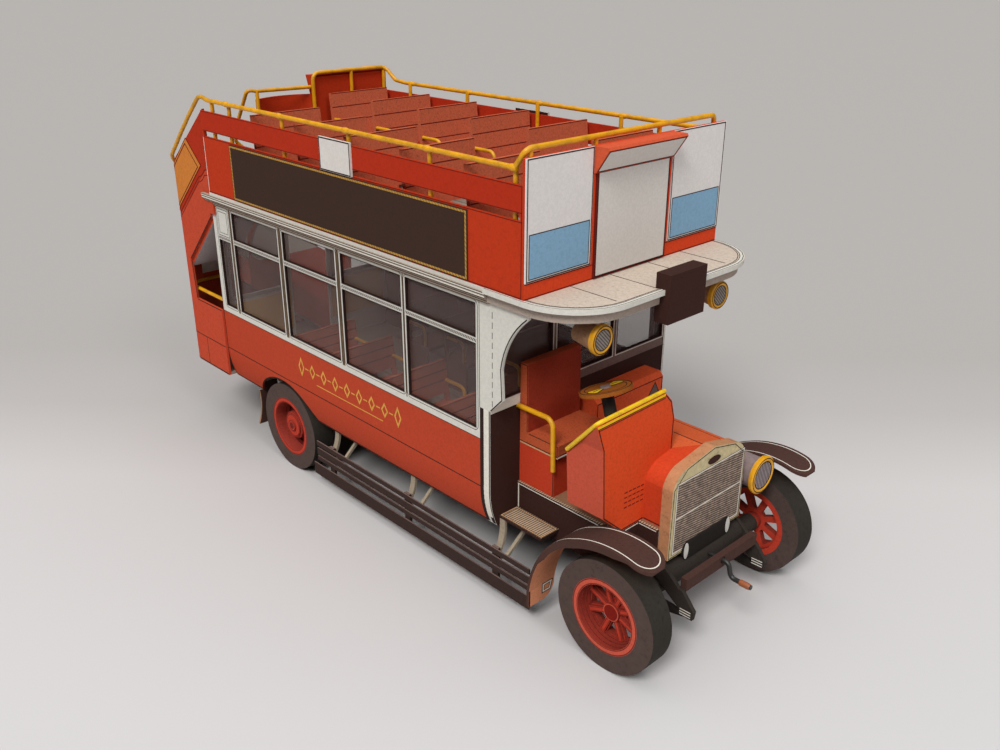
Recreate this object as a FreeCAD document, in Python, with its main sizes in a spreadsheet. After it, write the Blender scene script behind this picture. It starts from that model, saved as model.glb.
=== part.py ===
# Open-top double-deck bus: a card scale model with wire handrails.
# Millimetres. +X points forward, +Y to the nearside (left), +Z up.
# Every shape is drawn from the rear axle line (x = 0) and then shifted so that
# the origin lies on the floor under the middle of the overall length.
import FreeCAD, Part
import math
import os
import Sketcher

os.makedirs("parts", exist_ok=True)
doc = FreeCAD.newDocument("OpenTopBus")
Vector = FreeCAD.Vector
Rotation = FreeCAD.Rotation
Placement = FreeCAD.Placement

# ---------------------------------------------------------------- sizes
# alias, value in mm, what it is
SIZES = [
    ("rear_axle_x", -57.0, "rear axle line from the origin"),
    ("wheelbase", 170.5, "rear axle to front axle"),
    ("card", 1.0, "thickness of the card walls"),
    ("thin_card", 0.4, "thickness of the glued-on boards"),
    ("film", 0.3, "thickness of the window film"),
    ("body_half", 43.0, "half width over the saloon sides"),
    ("deck_half", 45.0, "half width over the upper deck panels"),
    ("skirt_half", 40.0, "half width at the foot of the skirt"),
    ("skirt_z", 26.5, "foot of the skirt"),
    ("belt_z", 40.5, "where the rocker curve begins"),
    ("rocker_r", 34.17, "radius of the rocker curve"),
    ("sill_z", 61.0, "bottom of the saloon windows"),
    ("light_z", 89.2, "top of the tall windows"),
    ("vent_z", 91.5, "bottom of the top lights"),
    ("head_z", 102.2, "top of the top lights"),
    ("saloon_rear_x", -45.0, "rear end of the saloon sides"),
    ("saloon_front_x", 118.0, "front end of the saloon sides"),
    ("bulkhead_front_x", 122.0, "front face of the front bulkhead"),
    ("deck_under_z", 107.8, "underside of the upper deck"),
    ("deck_z", 109.0, "upper deck floor"),
    ("tall_panel_x", -42.0, "rear face of the upper rear panel"),
    ("stair_front_x", -41.5, "front end of the stair panel"),
    ("panel_rear_x", -41.0, "rear end of the upper side panels"),
    ("panel_front_x", 137.0, "front end of the upper side panels"),
    ("panel_top_z", 131.2, "top of the lower upper-deck panel"),
    ("band_low_z", 133.4, "bottom of the top band"),
    ("band_top_z", 141.0, "top of the top band"),
    ("front_top_z", 148.3, "top of the front panel"),
    ("rail_z", 145.2, "side handrail height"),
    ("rail_half", 44.2, "side handrail from the centre line"),
    ("rail_r", 0.8, "handrail wire radius"),
    ("post_half", 43.2, "handrail posts from the centre line"),
    ("canopy_front_x", 159.0, "front edge of the canopy"),
    ("canopy_half", 46.0, "half width of the canopy"),
    ("canopy_corner_r", 21.0, "canopy corner radius"),
    ("floor_z", 31.0, "saloon floor"),
    ("platform_z", 28.5, "rear platform floor"),
    ("rear_x", -79.0, "back of the platform"),
    ("stair_half", 44.0, "outside of the stair panel"),
    ("stair_corner_r", 9.0, "stair panel corner radius"),
    ("cab_floor_z", 39.5, "floor of the driver's cab"),
    ("cab_half", 30.0, "half width of the cab floor"),
    ("dash_x", 164.5, "front face of the dash"),
    ("bonnet_half", 19.0, "half width of the bonnet"),
    ("bonnet_front_x", 171.5, "front of the bonnet"),
    ("bonnet_side_z", 53.0, "where the bonnet shoulder begins"),
    ("ridge_z", 60.9, "ridge of the bonnet"),
    ("radiator_half", 19.8, "half width of the radiator"),
    ("radiator_front_x", 175.3, "front of the radiator"),
    ("radiator_low_z", 29.8, "foot of the radiator"),
    ("tyre_r", 18.4, "tyre radius"),
    ("tyre_in", 33.9, "inner face of each wheel"),
    ("tyre_out", 42.5, "outer face of each wheel"),
    ("rim_r", 12.4, "rim radius"),
    ("rim_bore_r", 10.4, "inside of the rim"),
    ("stub_r", 1.5, "stub axle radius"),
    ("bore_r", 1.55, "wheel bore radius"),
    ("frame_in", 18.6, "inner face of the chassis members"),
    ("frame_out", 20.0, "outer face of the chassis members"),
    ("frame_z", 23.5, "underside of the chassis members"),
    ("guard_in", 42.5, "inner face of the side guards"),
    ("guard_out", 43.0, "outer face of the side guards"),
    ("mudguard_in", 34.0, "inner edge of the front mudguards"),
    ("mudguard_out", 45.5, "outer edge of the front mudguards"),
    ("bench_in", 12.5, "aisle end of the upper seats"),
    ("bench_out", 42.0, "outer end of the upper seats"),
    ("riser", 8.94, "height of one stair"),
]

sheet = doc.addObject("Spreadsheet::Sheet", "Dims")
for row, (alias, value, note) in enumerate(SIZES, start=1):
    sheet.set("A%d" % row, note)
    sheet.set("B%d" % row, str(value))
    sheet.setAlias("B%d" % row, alias)
doc.recompute()


class Dim:
    """A length that carries its value and the spreadsheet expression behind it."""

    def __init__(self, value, text):
        self.value = value
        self.text = text

    def __add__(self, other):
        other = dim(other)
        return Dim(self.value + other.value, "(%s + %s)" % (self.text, other.text))

    __radd__ = __add__

    def __sub__(self, other):
        other = dim(other)
        return Dim(self.value - other.value, "(%s - %s)" % (self.text, other.text))

    def __rsub__(self, other):
        return dim(other) - self

    def __mul__(self, other):
        other = dim(other)
        return Dim(self.value * other.value, "(%s * %s)" % (self.text, other.text))

    __rmul__ = __mul__

    def __neg__(self):
        return Dim(-self.value, "(0 - %s)" % self.text)


def dim(item):
    """A Dim from a sheet alias, a number or a Dim."""
    if isinstance(item, Dim):
        return item
    if isinstance(item, str):
        return Dim(float(sheet.get(item)), "Dims." + item)
    if item < 0:
        return Dim(float(item), "(0 - %.6g)" % -item)
    return Dim(float(item), "%.6g" % item)


def size(alias):
    return dim(alias).value


# ---------------------------------------------------------------- sketches
NORMAL = {"XY": 1.0, "XZ": -1.0, "YZ": 1.0}
FINAL = {}


def bind(obj, prop, item):
    obj.setExpression(prop, dim(item).text)


def finish(obj, name):
    """Name a finished node and shift it to the common origin."""
    obj.Label = name
    bind(obj, "Placement.Base.x", "rear_axle_x")
    FINAL[name] = obj
    return obj


def new_body(name):
    body = doc.addObject("PartDesign::Body", name)
    body.AllowCompound = True
    return finish(body, name)


def plane_of(body, plane):
    for feature in body.Origin.OriginFeatures:
        if feature.Role == plane + "_Plane":
            return feature
    raise ValueError(plane)


def axis_of(body, axis):
    for feature in body.Origin.OriginFeatures:
        if feature.Role == axis + "_Axis":
            return feature
    raise ValueError(axis)


def arc_centre(start, end, radius):
    """Centre of the short arc; a positive radius puts it left of start to end."""
    dx = end[0] - start[0]
    dy = end[1] - start[1]
    chord = math.hypot(dx, dy)
    rise = math.sqrt(max(radius * radius - chord * chord / 4.0, 0.0))
    side = 1.0 if radius > 0 else -1.0
    mid_x = (start[0] + end[0]) / 2.0
    mid_y = (start[1] + end[1]) / 2.0
    return mid_x - side * rise * dy / chord, mid_y + side * rise * dx / chord


def bind_datum(sketch, kind, args, item):
    item = dim(item)
    index = sketch.addConstraint(_constraint(kind, args, item.value))
    sketch.setExpression("Constraints[%d]" % index, item.text)


def _constraint(kind, args, value):
    return Sketcher.Constraint(kind, *args, value)


def _join(first, first_end, second, second_end):
    return Sketcher.Constraint("Coincident", first, first_end, second, second_end)


def draw_circle(sketch, loop):
    u, v, radius = [dim(item) for item in loop[1:4]]
    circle = Part.Circle(Vector(u.value, v.value, 0), Vector(0, 0, 1), radius.value)
    index = sketch.addGeometry(circle, False)
    bind_datum(sketch, "DistanceX", (-1, 1, index, 3), u)
    bind_datum(sketch, "DistanceY", (-1, 1, index, 3), v)
    bind_datum(sketch, "Radius", (index,), radius)


def draw_loop(sketch, loop):
    """A closed loop of corners (u, v) or (u, v, radius of the arc to the next)."""
    if loop[0] == "circle":
        draw_circle(sketch, loop)
        return
    corners = [(dim(c[0]), dim(c[1])) for c in loop]
    radii = [dim(c[2]) if len(c) > 2 else None for c in loop]
    count = len(corners)
    ends = []
    for i in range(count):
        start = (corners[i][0].value, corners[i][1].value)
        end_dims = corners[(i + 1) % count]
        end = (end_dims[0].value, end_dims[1].value)
        if radii[i] is None:
            line = Part.LineSegment(Vector(*start, 0), Vector(*end, 0))
            index = sketch.addGeometry(line, False)
            ends.append((index, 1, 2))
            continue
        radius = radii[i].value
        cx, cy = arc_centre(start, end, radius)
        a = math.atan2(start[1] - cy, start[0] - cx)
        b = math.atan2(end[1] - cy, end[0] - cx)
        if radius < 0:
            a, b = b, a
        if b < a:
            b += 2.0 * math.pi
        circle = Part.Circle(Vector(cx, cy, 0), Vector(0, 0, 1), abs(radius))
        index = sketch.addGeometry(Part.ArcOfCircle(circle, a, b), False)
        ends.append((index, 1, 2) if radius > 0 else (index, 2, 1))
    for i in range(count):
        after = ends[(i + 1) % count]
        sketch.addConstraint(_join(ends[i][0], ends[i][2], after[0], after[1]))
    for i in range(count):
        index, start_end = ends[i][0], ends[i][1]
        bind_datum(sketch, "DistanceX", (-1, 1, index, start_end), corners[i][0])
        bind_datum(sketch, "DistanceY", (-1, 1, index, start_end), corners[i][1])
        if radii[i] is not None:
            bent = radii[i] if radii[i].value > 0 else -radii[i]
            bind_datum(sketch, "Radius", (index,), bent)


def rect(u0, v0, u1, v1):
    return [(u0, v0), (u1, v0), (u1, v1), (u0, v1)]


def add_sketch(body, plane, at, loops):
    sketch = body.newObject("Sketcher::SketchObject", body.Name + "_sketch")
    sketch.AttachmentSupport = [(plane_of(body, plane), "")]
    sketch.MapMode = "FlatFace"
    offset = dim(at) * NORMAL[plane]
    sketch.AttachmentOffset = Placement(Vector(0, 0, offset.value), Rotation())
    sketch.setExpression("AttachmentOffset.Base.z", offset.text)
    for loop in loops:
        draw_loop(sketch, loop)
    return sketch


def pad(body, plane, low, high, loops):
    """Add material between two levels along the plane's normal."""
    low, high = dim(low), dim(high)
    if low.value > high.value:
        low, high = high, low
    sketch = add_sketch(body, plane, low if NORMAL[plane] > 0 else high, loops)
    feature = body.newObject("PartDesign::Pad", body.Name + "_pad")
    feature.Profile = sketch
    feature.Length = high.value - low.value
    bind(feature, "Length", high - low)
    sketch.Visibility = False
    doc.recompute()
    return feature


def cut(body, plane, low, high, loops):
    """Remove material between two levels along the plane's normal."""
    low, high = dim(low), dim(high)
    if low.value > high.value:
        low, high = high, low
    sketch = add_sketch(body, plane, high if NORMAL[plane] > 0 else low, loops)
    before = body.Shape.Volume
    feature = body.newObject("PartDesign::Pocket", body.Name + "_pocket")
    feature.Profile = sketch
    feature.Length = high.value - low.value
    bind(feature, "Length", high - low)
    sketch.Visibility = False
    doc.recompute()
    if body.Shape.Volume > before - 1e-4:
        print("CUT WITHOUT EFFECT", body.Name, before, body.Shape.Volume)
    return feature


# ---------------------------------------------------------------- primitives
def box(name, x, y, z, length, width, height, lean=0.0):
    item = doc.addObject("Part::Box", name)
    bind(item, "Length", length)
    bind(item, "Width", width)
    bind(item, "Height", height)
    item.Placement = Placement(Vector(), Rotation(Vector(0, 1, 0), lean))
    bind(item, "Placement.Base.x", x)
    bind(item, "Placement.Base.y", y)
    bind(item, "Placement.Base.z", z)
    return item


def span(name, x0, x1, y0, y1, z0, z1):
    """A box between two corners; the y limits may come in either order."""
    x0, x1, y0, y1, z0, z1 = [dim(item) for item in (x0, x1, y0, y1, z0, z1)]
    if y0.value > y1.value:
        y0, y1 = y1, y0
    return box(name, x0, y0, z0, x1 - x0, y1 - y0, z1 - z0)


TURN = {
    "x": Rotation(Vector(0, 1, 0), 90),
    "y": Rotation(Vector(1, 0, 0), -90),
    "z": Rotation(),
}


def rod(name, axis, x, y, z, radius, length, top_radius=None):
    """A cylinder, or a cone, that starts at a point and runs along +axis."""
    kind = "Part::Cylinder" if top_radius is None else "Part::Cone"
    item = doc.addObject(kind, name)
    if top_radius is None:
        bind(item, "Radius", radius)
    else:
        bind(item, "Radius1", radius)
        bind(item, "Radius2", top_radius)
    bind(item, "Height", length)
    item.Placement = Placement(Vector(), TURN[axis])
    bind(item, "Placement.Base.x", x)
    bind(item, "Placement.Base.y", y)
    bind(item, "Placement.Base.z", z)
    return item


def fuse(name, items):
    if len(items) == 1:
        return items[0]
    result = doc.addObject("Part::MultiFuse", name)
    result.Shapes = items
    result.Refine = True
    return result


def subtract(name, base, tool):
    result = doc.addObject("Part::Cut", name)
    result.Base = base
    result.Tool = tool
    return result


def group(name, items):
    """Finished node: separate pieces of one kind that share a body."""
    result = doc.addObject("Part::Compound", name)
    result.Links = items
    return finish(result, name)


def solid_node(name, items):
    """Finished node: one solid fused from overlapping or touching pieces."""
    result = doc.addObject("Part::MultiFuse", name)
    result.Shapes = items
    result.Refine = True
    return finish(result, name)


# ---------------------------------------------------------------- bent wire
def bent_wire(points, radius, bend):
    """Solid of a round wire along a path with rounded corners."""
    knots = [Vector(*p) for p in points]
    edges = []
    here = knots[0]
    for i in range(1, len(knots) - 1):
        back = (knots[i - 1] - knots[i]).normalize()
        ahead = (knots[i + 1] - knots[i]).normalize()
        angle = back.getAngle(ahead)
        reach = bend / math.tan(angle / 2.0)
        room = 0.48 * min((knots[i - 1] - knots[i]).Length, (knots[i + 1] - knots[i]).Length)
        reach = min(reach, room)
        real = reach * math.tan(angle / 2.0)
        enter = knots[i] + back * reach
        leave = knots[i] + ahead * reach
        inward = (back + ahead).normalize()
        middle = knots[i] + inward * (real / math.sin(angle / 2.0) - real)
        edges.append(Part.makeLine(here, enter))
        edges.append(Part.Arc(enter, middle, leave).toShape())
        here = leave
    edges.append(Part.makeLine(here, knots[-1]))
    path = Part.Wire(edges)
    circle = Part.makeCircle(radius, knots[0], (knots[1] - knots[0]).normalize())
    return path.makePipeShell([Part.Wire([circle])], True, False)


def straight_wire(start, end, radius):
    start, end = Vector(*start), Vector(*end)
    return Part.makeCylinder(radius, (end - start).Length, start, end - start)


def wire_node(name, pieces, joined=True):
    """Finished node from wire solids, fused where they meet."""
    if joined and len(pieces) > 1:
        shape = pieces[0].fuse(pieces[1:]).removeSplitter()
    else:
        shape = Part.makeCompound(pieces)
    item = doc.addObject("Part::Feature", name)
    item.Shape = shape
    return finish(item, name)


SIDES = [("offside", -1.0), ("nearside", 1.0)]

# ---------------------------------------------------------------- saloon sides
# lean of the rocker curve at its foot
ROCKER_DROP = size("belt_z") - size("skirt_z")
ROCKER_COS = ROCKER_DROP / size("rocker_r")
ROCKER_SIN = math.sqrt(1.0 - ROCKER_COS ** 2)
WINDOW_BAYS = [(-41.0, -32.5), (-29.0, 4.3), (8.3, 41.9), (45.8, 79.2), (82.0, 115.5)]


def side_section(sign):
    """Thin section of one saloon side, from the deck down to the skirt foot."""
    out = dim("body_half") * sign
    inner = (dim("body_half") - dim("card")) * sign
    foot = dim("skirt_half") * sign
    foot_in = (dim("skirt_half") - dim("card") * ROCKER_SIN) * sign
    foot_in_z = dim("skirt_z") + dim("card") * ROCKER_COS
    bend = dim("rocker_r") * -sign
    bend_in = (dim("rocker_r") - dim("card")) * sign
    return [
        (out, "deck_under_z"), (out, "belt_z", bend), (foot, "skirt_z"),
        (foot_in, foot_in_z, bend_in), (inner, "belt_z"), (inner, "deck_under_z"),
    ]


for side, sign in SIDES:
    body = new_body(side + "_saloon_side")
    pad(body, "YZ", "saloon_rear_x", "saloon_front_x", [side_section(sign)])
    near = (dim("body_half") - 4.0) * sign
    far = (dim("body_half") + 2.0) * sign
    lights = []
    for x0, x1 in WINDOW_BAYS:
        lights.append(rect(x0, "sill_z", x1, "light_z"))
    for x0, x1 in WINDOW_BAYS[1:]:
        lights.append(rect(x0, "vent_z", x1, "head_z"))
    cut(body, "XZ", near, far, lights)
    arch = [[(-23.2, 20), (-23.2, 27.0, -25.0), (-3.0, 38.6, -23.0), (18.9, 27.0), (18.9, 20)]]
    cut(body, "XZ", (dim("skirt_half") - 4.0) * sign, far, arch)

# front bulkhead: three windows over a dark lower panel
body = new_body("front_bulkhead")
half = dim("body_half")
foot = dim("skirt_half")
bend = dim("rocker_r")
outline = [
    (-half, "deck_under_z"), (-half, "belt_z", bend), (-foot, "skirt_z"),
    (foot, "skirt_z", bend), (half, "belt_z"), (half, "deck_under_z"),
]
pad(body, "YZ", "saloon_front_x", "bulkhead_front_x", [outline])
lining = half - dim("card")
lining_foot = foot - 0.5
lining_foot_z = dim("skirt_z") + 1.4
lining_bend = bend - dim("card")
lining_top = dim("deck_under_z") - dim("card")
cut(body, "YZ", dim("saloon_front_x") - 1.0, dim("bulkhead_front_x") - dim("card"), [[
    (-lining, lining_top), (-lining, "belt_z", lining_bend), (-lining_foot, lining_foot_z),
    (lining_foot, lining_foot_z, lining_bend), (lining, "belt_z"), (lining, lining_top),
]])
panes = [(-40.8, -16.2), (-13.4, 13.4), (16.2, 40.8)]
cut(body, "YZ", dim("bulkhead_front_x") - 2.0, dim("bulkhead_front_x") + 1.0,
    [rect(y0, 71.4, y1, "head_z") for y0, y1 in panes])

# rear bulkhead: doorway with a window at each side
body = new_body("rear_bulkhead")
inner = dim("body_half") - dim("card")
pad(body, "YZ", "saloon_rear_x", dim("saloon_rear_x") + dim("card"),
    [[(-40.5, "floor_z"), (40.5, "floor_z"), (inner, "belt_z"), (inner, "deck_under_z"),
      (-inner, "deck_under_z"), (-inner, "belt_z")]])
cut(body, "YZ", dim("saloon_rear_x") - 1.0, dim("saloon_rear_x") + 2.0, [
    rect(-9.5, 26.0, 9.5, 99.0),
    rect(-38.5, 62.0, -13.0, 100.0),
    rect(13.0, 62.0, 38.5, 100.0),
])

# smoky film behind the window openings
film_in = dim("body_half") - dim("card") - dim("film")
film = []
for side, sign in SIDES:
    film.append(span(side + "_film", dim("saloon_rear_x") + 1.2, dim("saloon_front_x") - 0.5,
                     film_in * sign, (film_in + dim("film")) * sign, 59.5, 103.6))
    film.append(span(side + "_rear_film", dim("saloon_rear_x") + dim("card"),
                     dim("saloon_rear_x") + dim("card") + dim("film"), 11.5 * sign, 40.0 * sign,
                     60.5, 101.5))
glazed_x = dim("bulkhead_front_x") - dim("card")
film.append(span("front_film", glazed_x - dim("film"), glazed_x, -41.2, 41.2, 69.8, 103.6))
group("window_film", film)

# ---------------------------------------------------------------- floors
# recess in each edge of the floor for a rear wheel
WELL_REAR_X = -24.0
WELL_FRONT_X = 20.5
WELL_Y = 31.4
WELL_TOP_Z = 41.5
FLOOR_HALF = 40.0
body = new_body("saloon_floor")
pad(body, "XY", dim("floor_z") - 1.5, "floor_z", [[
    ("saloon_rear_x", -FLOOR_HALF), (WELL_REAR_X, -FLOOR_HALF), (WELL_REAR_X, -WELL_Y),
    (WELL_FRONT_X, -WELL_Y), (WELL_FRONT_X, -FLOOR_HALF), ("saloon_front_x", -FLOOR_HALF),
    ("saloon_front_x", FLOOR_HALF), (WELL_FRONT_X, FLOOR_HALF), (WELL_FRONT_X, WELL_Y),
    (WELL_REAR_X, WELL_Y), (WELL_REAR_X, FLOOR_HALF), ("saloon_rear_x", FLOOR_HALF),
]])

body = new_body("rear_wheel_boxes")
for side, sign in SIDES:
    pad(body, "XZ", WELL_Y * sign, 32.4 * sign, [[
        (WELL_REAR_X, 28.0), (WELL_REAR_X, "floor_z", -25.0), (-2.0, WELL_TOP_Z, -25.0),
        (WELL_FRONT_X, "floor_z"), (WELL_FRONT_X, 28.0),
    ]])
    pad(body, "XZ", 32.4 * sign, 40.4 * sign, [[
        (WELL_REAR_X, "floor_z", -25.0), (-2.0, WELL_TOP_Z, -25.0), (WELL_FRONT_X, "floor_z"),
        (WELL_FRONT_X - 0.9, "floor_z", 25.0), (-2.0, WELL_TOP_Z - 1.0, 25.0),
        (WELL_REAR_X + 0.9, "floor_z"),
    ]])

body = new_body("platform_floor")
back = dim("rear_x") + dim("card")
edge = dim("stair_half") - dim("card")
turn = dim("stair_corner_r") - dim("card")
pad(body, "XY", dim("platform_z") - 1.2, "platform_z", [[
    ("saloon_rear_x", -edge), (back + turn, -edge, -turn), (back, -edge + turn),
    (back, 30.0, -turn), (back + turn, 38.0), ("saloon_rear_x", 38.0),
]])

body = new_body("upper_deck_floor")
pad(body, "XY", "deck_under_z", "deck_z", [[
    ("saloon_rear_x", -edge), ("stair_front_x", -edge), ("stair_front_x", -dim("deck_half")),
    ("bulkhead_front_x", -dim("deck_half")), ("bulkhead_front_x", "deck_half"),
    ("saloon_rear_x", "deck_half"),
]])

# moulding under the edge of the upper deck
body = new_body("cornices")
for side, sign in SIDES:
    pad(body, "YZ", "stair_front_x", "bulkhead_front_x", [[
        (43.0 * sign, 103.6), (43.8 * sign, 103.6), (44.1 * sign, 105.0), (45.1 * sign, 105.6),
        (45.5 * sign, 107.8), (43.0 * sign, 107.8),
    ]])
    pad(body, "YZ", dim("saloon_rear_x") - 3.0, "stair_front_x", [[
        (44.0 * sign, 104.6), (44.1 * sign, 105.0), (45.1 * sign, 105.6),
        (45.5 * sign, 107.8), (44.0 * sign, 107.8),
    ]])

# ---------------------------------------------------------------- canopy over the driver
body = new_body("canopy")


def canopy_outline(inset, rear):
    half_w = dim("canopy_half") - inset
    nose = dim("canopy_front_x") - inset
    corner = dim("canopy_corner_r") - inset
    return [
        (rear, -half_w), (nose - corner, -half_w, corner), (nose, -half_w + corner),
        (nose, half_w - corner, corner), (nose - corner, half_w), (rear, half_w),
    ]


pad(body, "XY", 107.5, "deck_z", [canopy_outline(0.0, "bulkhead_front_x")])
pad(body, "XY", 104.4, 107.5, [canopy_outline(1.8, "bulkhead_front_x")])
cut(body, "XY", 104.0, 107.5, [canopy_outline(2.8, dim("bulkhead_front_x") - 1.0)])

body = new_body("canopy_bracket")
pad(body, "XZ", -43.0, -42.0, [[
    ("bulkhead_front_x", 68.4), (127.6, 73.9), (127.0, 84.0, -30.0), (137.8, 102.6),
    (140.5, 107.5), ("bulkhead_front_x", 107.5),
]])

# ---------------------------------------------------------------- upper deck panels
for side, sign in SIDES:
    body = new_body(side + "_upper_panel")
    outer = dim("deck_half") * sign
    inner = outer - dim("card") * sign
    pad(body, "XZ", inner, outer, [
        rect("panel_rear_x", "deck_z", "panel_front_x", "band_top_z"),
        rect(dim("panel_rear_x") + 0.8, "panel_top_z", dim("panel_front_x") - 0.8, "band_low_z"),
    ])

body = new_body("upper_front_panel")
pad(body, "YZ", "panel_front_x", dim("panel_front_x") + dim("card"),
    [rect(-dim("deck_half"), "deck_z", "deck_half", "front_top_z")])

body = new_body("upper_rear_panel")
pad(body, "YZ", "tall_panel_x", dim("tall_panel_x") + dim("card"),
    [rect(6.0, "deck_z", "deck_half", 150.0)])
pad(body, "XZ", 6.0, "deck_half",
    [[("tall_panel_x", 150.0), ("tall_panel_x", 142.0), (dim("tall_panel_x") - 2.6, 150.0)]])

pad(body, "XY", "deck_z", 142.5, [[
    ("tall_panel_x", 6.0, 23.1), ("tall_panel_x", -20.0), (dim("tall_panel_x") + 1.0, -20.0, -23.1),
    (dim("tall_panel_x") + 1.0, 6.0),
]])

# thin boards glued to the panels
boards = []
for side, sign in SIDES:
    outer = dim("deck_half") * sign
    boards.append(span(side + "_advert", -20.5, 114.9, outer,
                       outer + dim("thin_card") * sign, 109.5, 130.6))
face = dim("panel_front_x") + dim("card")
for side, sign in SIDES:
    boards.append(span(side + "_front_advert", face, face + dim("thin_card"), 18.2 * sign,
                       45.0 * sign, 114.0, "front_top_z"))
group("advert_boards", boards)
boards = []
for side, sign in SIDES:
    outer = dim("deck_half") * sign
    boards.append(span(side + "_route", 41.7, 59.2, outer,
                       outer + 0.8 * sign, 131.0, 142.0))
group("route_boards", boards)
body = new_body("destination_box")
pad(body, "YZ", face, face + 0.6, [rect(-16.8, 109.4, 16.8, 140.9)])
pad(body, "XZ", -18.0, 18.0, [[
    (face, 140.7), (face + 0.8, 140.7), (face + 5.6, 147.6), (face + 5.2, 148.3), (face, 148.3),
]])

# ---------------------------------------------------------------- rear platform and stair
body = new_body("rear_stair_panel")
out = dim("stair_half")
corner = dim("stair_corner_r")
tail = dim("rear_x")
inner_r = corner - dim("card")
pad(body, "XY", dim("platform_z") - 1.2, 150.0, [[
    (-41.5, -out), (-41.5, -out + dim("card")), (tail + corner, -out + dim("card"), -inner_r),
    (tail + dim("card"), -out + corner), (tail + dim("card"), 30.0, -inner_r),
    (tail + corner, 38.0), (-68.0, 38.0), (-68.0, 39.0), (tail + corner, 39.0, corner),
    (tail, 30.0), (tail, -out + corner, corner), (tail + corner, -out),
]])
# open side between the saloon and the rear corner, under the rising stair
cut(body, "XZ", -48.0, -38.0, [
    [(-45.0, 20.0), (-40.0, 20.0), (-40.0, 99.5), (-45.0, 99.5)],
])
cut(body, "XZ", -48.0, -38.0, [
    [(-45.0, 57.5), (-45.0, 98.0), (-68.0, 75.2), (-66.6, 57.5)],
])
# top edge that follows the handrail
cut(body, "XZ", -48.0, -35.0, [[(-40.0, 142.6), (-40.0, 155.0), (-81.0, 155.0), (-81.0, 109.8)]])
cut(body, "YZ", -82.0, -76.4, [
    [(-46.0, 155.0), (-46.0, 116.8), (30.0, 62.1), (42.0, 58.0), (42.0, 155.0)],
])
cut(body, "YZ", -76.4, -64.0, [[(30.0, 155.0), (30.0, 62.1), (42.0, 58.0), (42.0, 155.0)]])

STEP = size("riser")
BASE = size("platform_z")
CORNER_STEPS = [(-78.0, -68.0), (-68.0, -59.5), (-59.5, -52.0), (-52.0, -45.0)]
body = new_body("staircase")
FIRST_RISER_Y = 20.0
GOING = 10.5
rear_steps = []
for k in range(1, 5):
    riser_y = FIRST_RISER_Y - GOING * (k - 1)
    rear_steps.append((riser_y, BASE + STEP * (k - 1)))
    rear_steps.append((riser_y, BASE + STEP * k))
rear_steps.append((FIRST_RISER_Y - GOING * 4, BASE + STEP * 4))
rear_soffit = [(FIRST_RISER_Y - GOING * 4, 61.5), (16.0, BASE)]
pad(body, "YZ", -78.0, -57.0, [rear_steps + rear_soffit])
side_steps = [(CORNER_STEPS[0][0], 71.5)]
for i, (x0, x1) in enumerate(CORNER_STEPS):
    tread_z = BASE + STEP * (5 + i)
    if i:
        side_steps.append((x0, tread_z - STEP))
    side_steps.append((x0, tread_z))
side_steps.append((CORNER_STEPS[-1][1], tread_z))
side_soffit = [(CORNER_STEPS[-1][1], 95.5), (-69.0, 71.5)]
pad(body, "XZ", -43.0, -22.0, [side_steps + side_soffit])
pad(body, "YZ", -78.0, -56.0, [rect(-23.0, 61.5, -22.0, BASE + STEP * 5)])
# rounded to the inside of the stair panel's corner
cut(body, "XY", 20.0, 120.0, [[
    (-78.0, -35.0, 8.0), (-70.0, -43.0), (-70.0, -46.0), (-82.0, -46.0), (-82.0, -35.0),
]])
# inner strings that close the open side of the stair
pad(body, "YZ", -57.0, -56.0, [[
    (20.0, 28.5), (20.0, 39.5), (-22.0, 75.0), (-22.0, 60.0), (16.0, 28.5),
]])
pad(body, "XZ", -22.0, -21.0, [[
    (-57.0, 74.0), (-57.0, 90.0), (-45.0, 104.5), (-45.0, 94.0), (-56.0, 79.0),
]])

# ---------------------------------------------------------------- seats
def bench(name, x, y0, y1, base, seat_h, back_h, legs):
    """One transverse seat: cushion board, reclined back and end supports."""
    low, high = sorted((y0, y1))
    items = [
        span(name + "_cushion", x + 2.4, x + 16.5, low, high, base + seat_h - 1.6, base + seat_h),
    ]
    foot = base + seat_h - 1.2
    rise = base + back_h - foot
    lean = math.degrees(math.atan2(2.2, rise))
    slope = rise / math.cos(math.radians(lean))
    back = box(name + "_back", x + 2.2, low, foot, 1.5, high - low, slope, -lean)
    hole = box(name + "_slot", x - 2.0, low + 1.6, base + seat_h, 9.0, high - low - 3.2, 3.2)
    items.append(subtract(name + "_open_back", back, hole))
    for i, y in enumerate(legs):
        items.append(span("%s_end%d" % (name, i), x + 3.4, x + 15.0, y, y + 1.2,
                          base, base + seat_h - 1.5))
    return fuse(name, items)


UPPER_ROWS = [-38.0, -8.5, 21.0, 50.7, 80.2, 110.0]
seats = []
for side, sign in SIDES:
    rows = UPPER_ROWS if side == "nearside" else UPPER_ROWS[1:]
    for i, x in enumerate(rows):
        y0 = size("bench_in") * sign
        y1 = size("bench_out") * sign
        low, high = sorted((y0, y1))
        seats.append(bench("%s_upper_seat_%d" % (side, i + 1), x, y0, y1, size("deck_z"),
                           12.0, 33.5, [low, high - 1.2]))
group("upper_deck_seats", seats)

SALOON_ROWS = [7.0, 32.0, 64.0, 94.0]
seats = []
for side, sign in SIDES:
    for i, x in enumerate(SALOON_ROWS):
        y0 = 13.0 * sign
        y1 = 41.4 * sign
        aisle_end = y0 if sign > 0 else y0 - 1.2
        seats.append(bench("%s_saloon_seat_%d" % (side, i + 1), x, y0, y1, size("floor_z"),
                           13.5, 29.0, [aisle_end]))
group("saloon_seats", seats)

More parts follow.
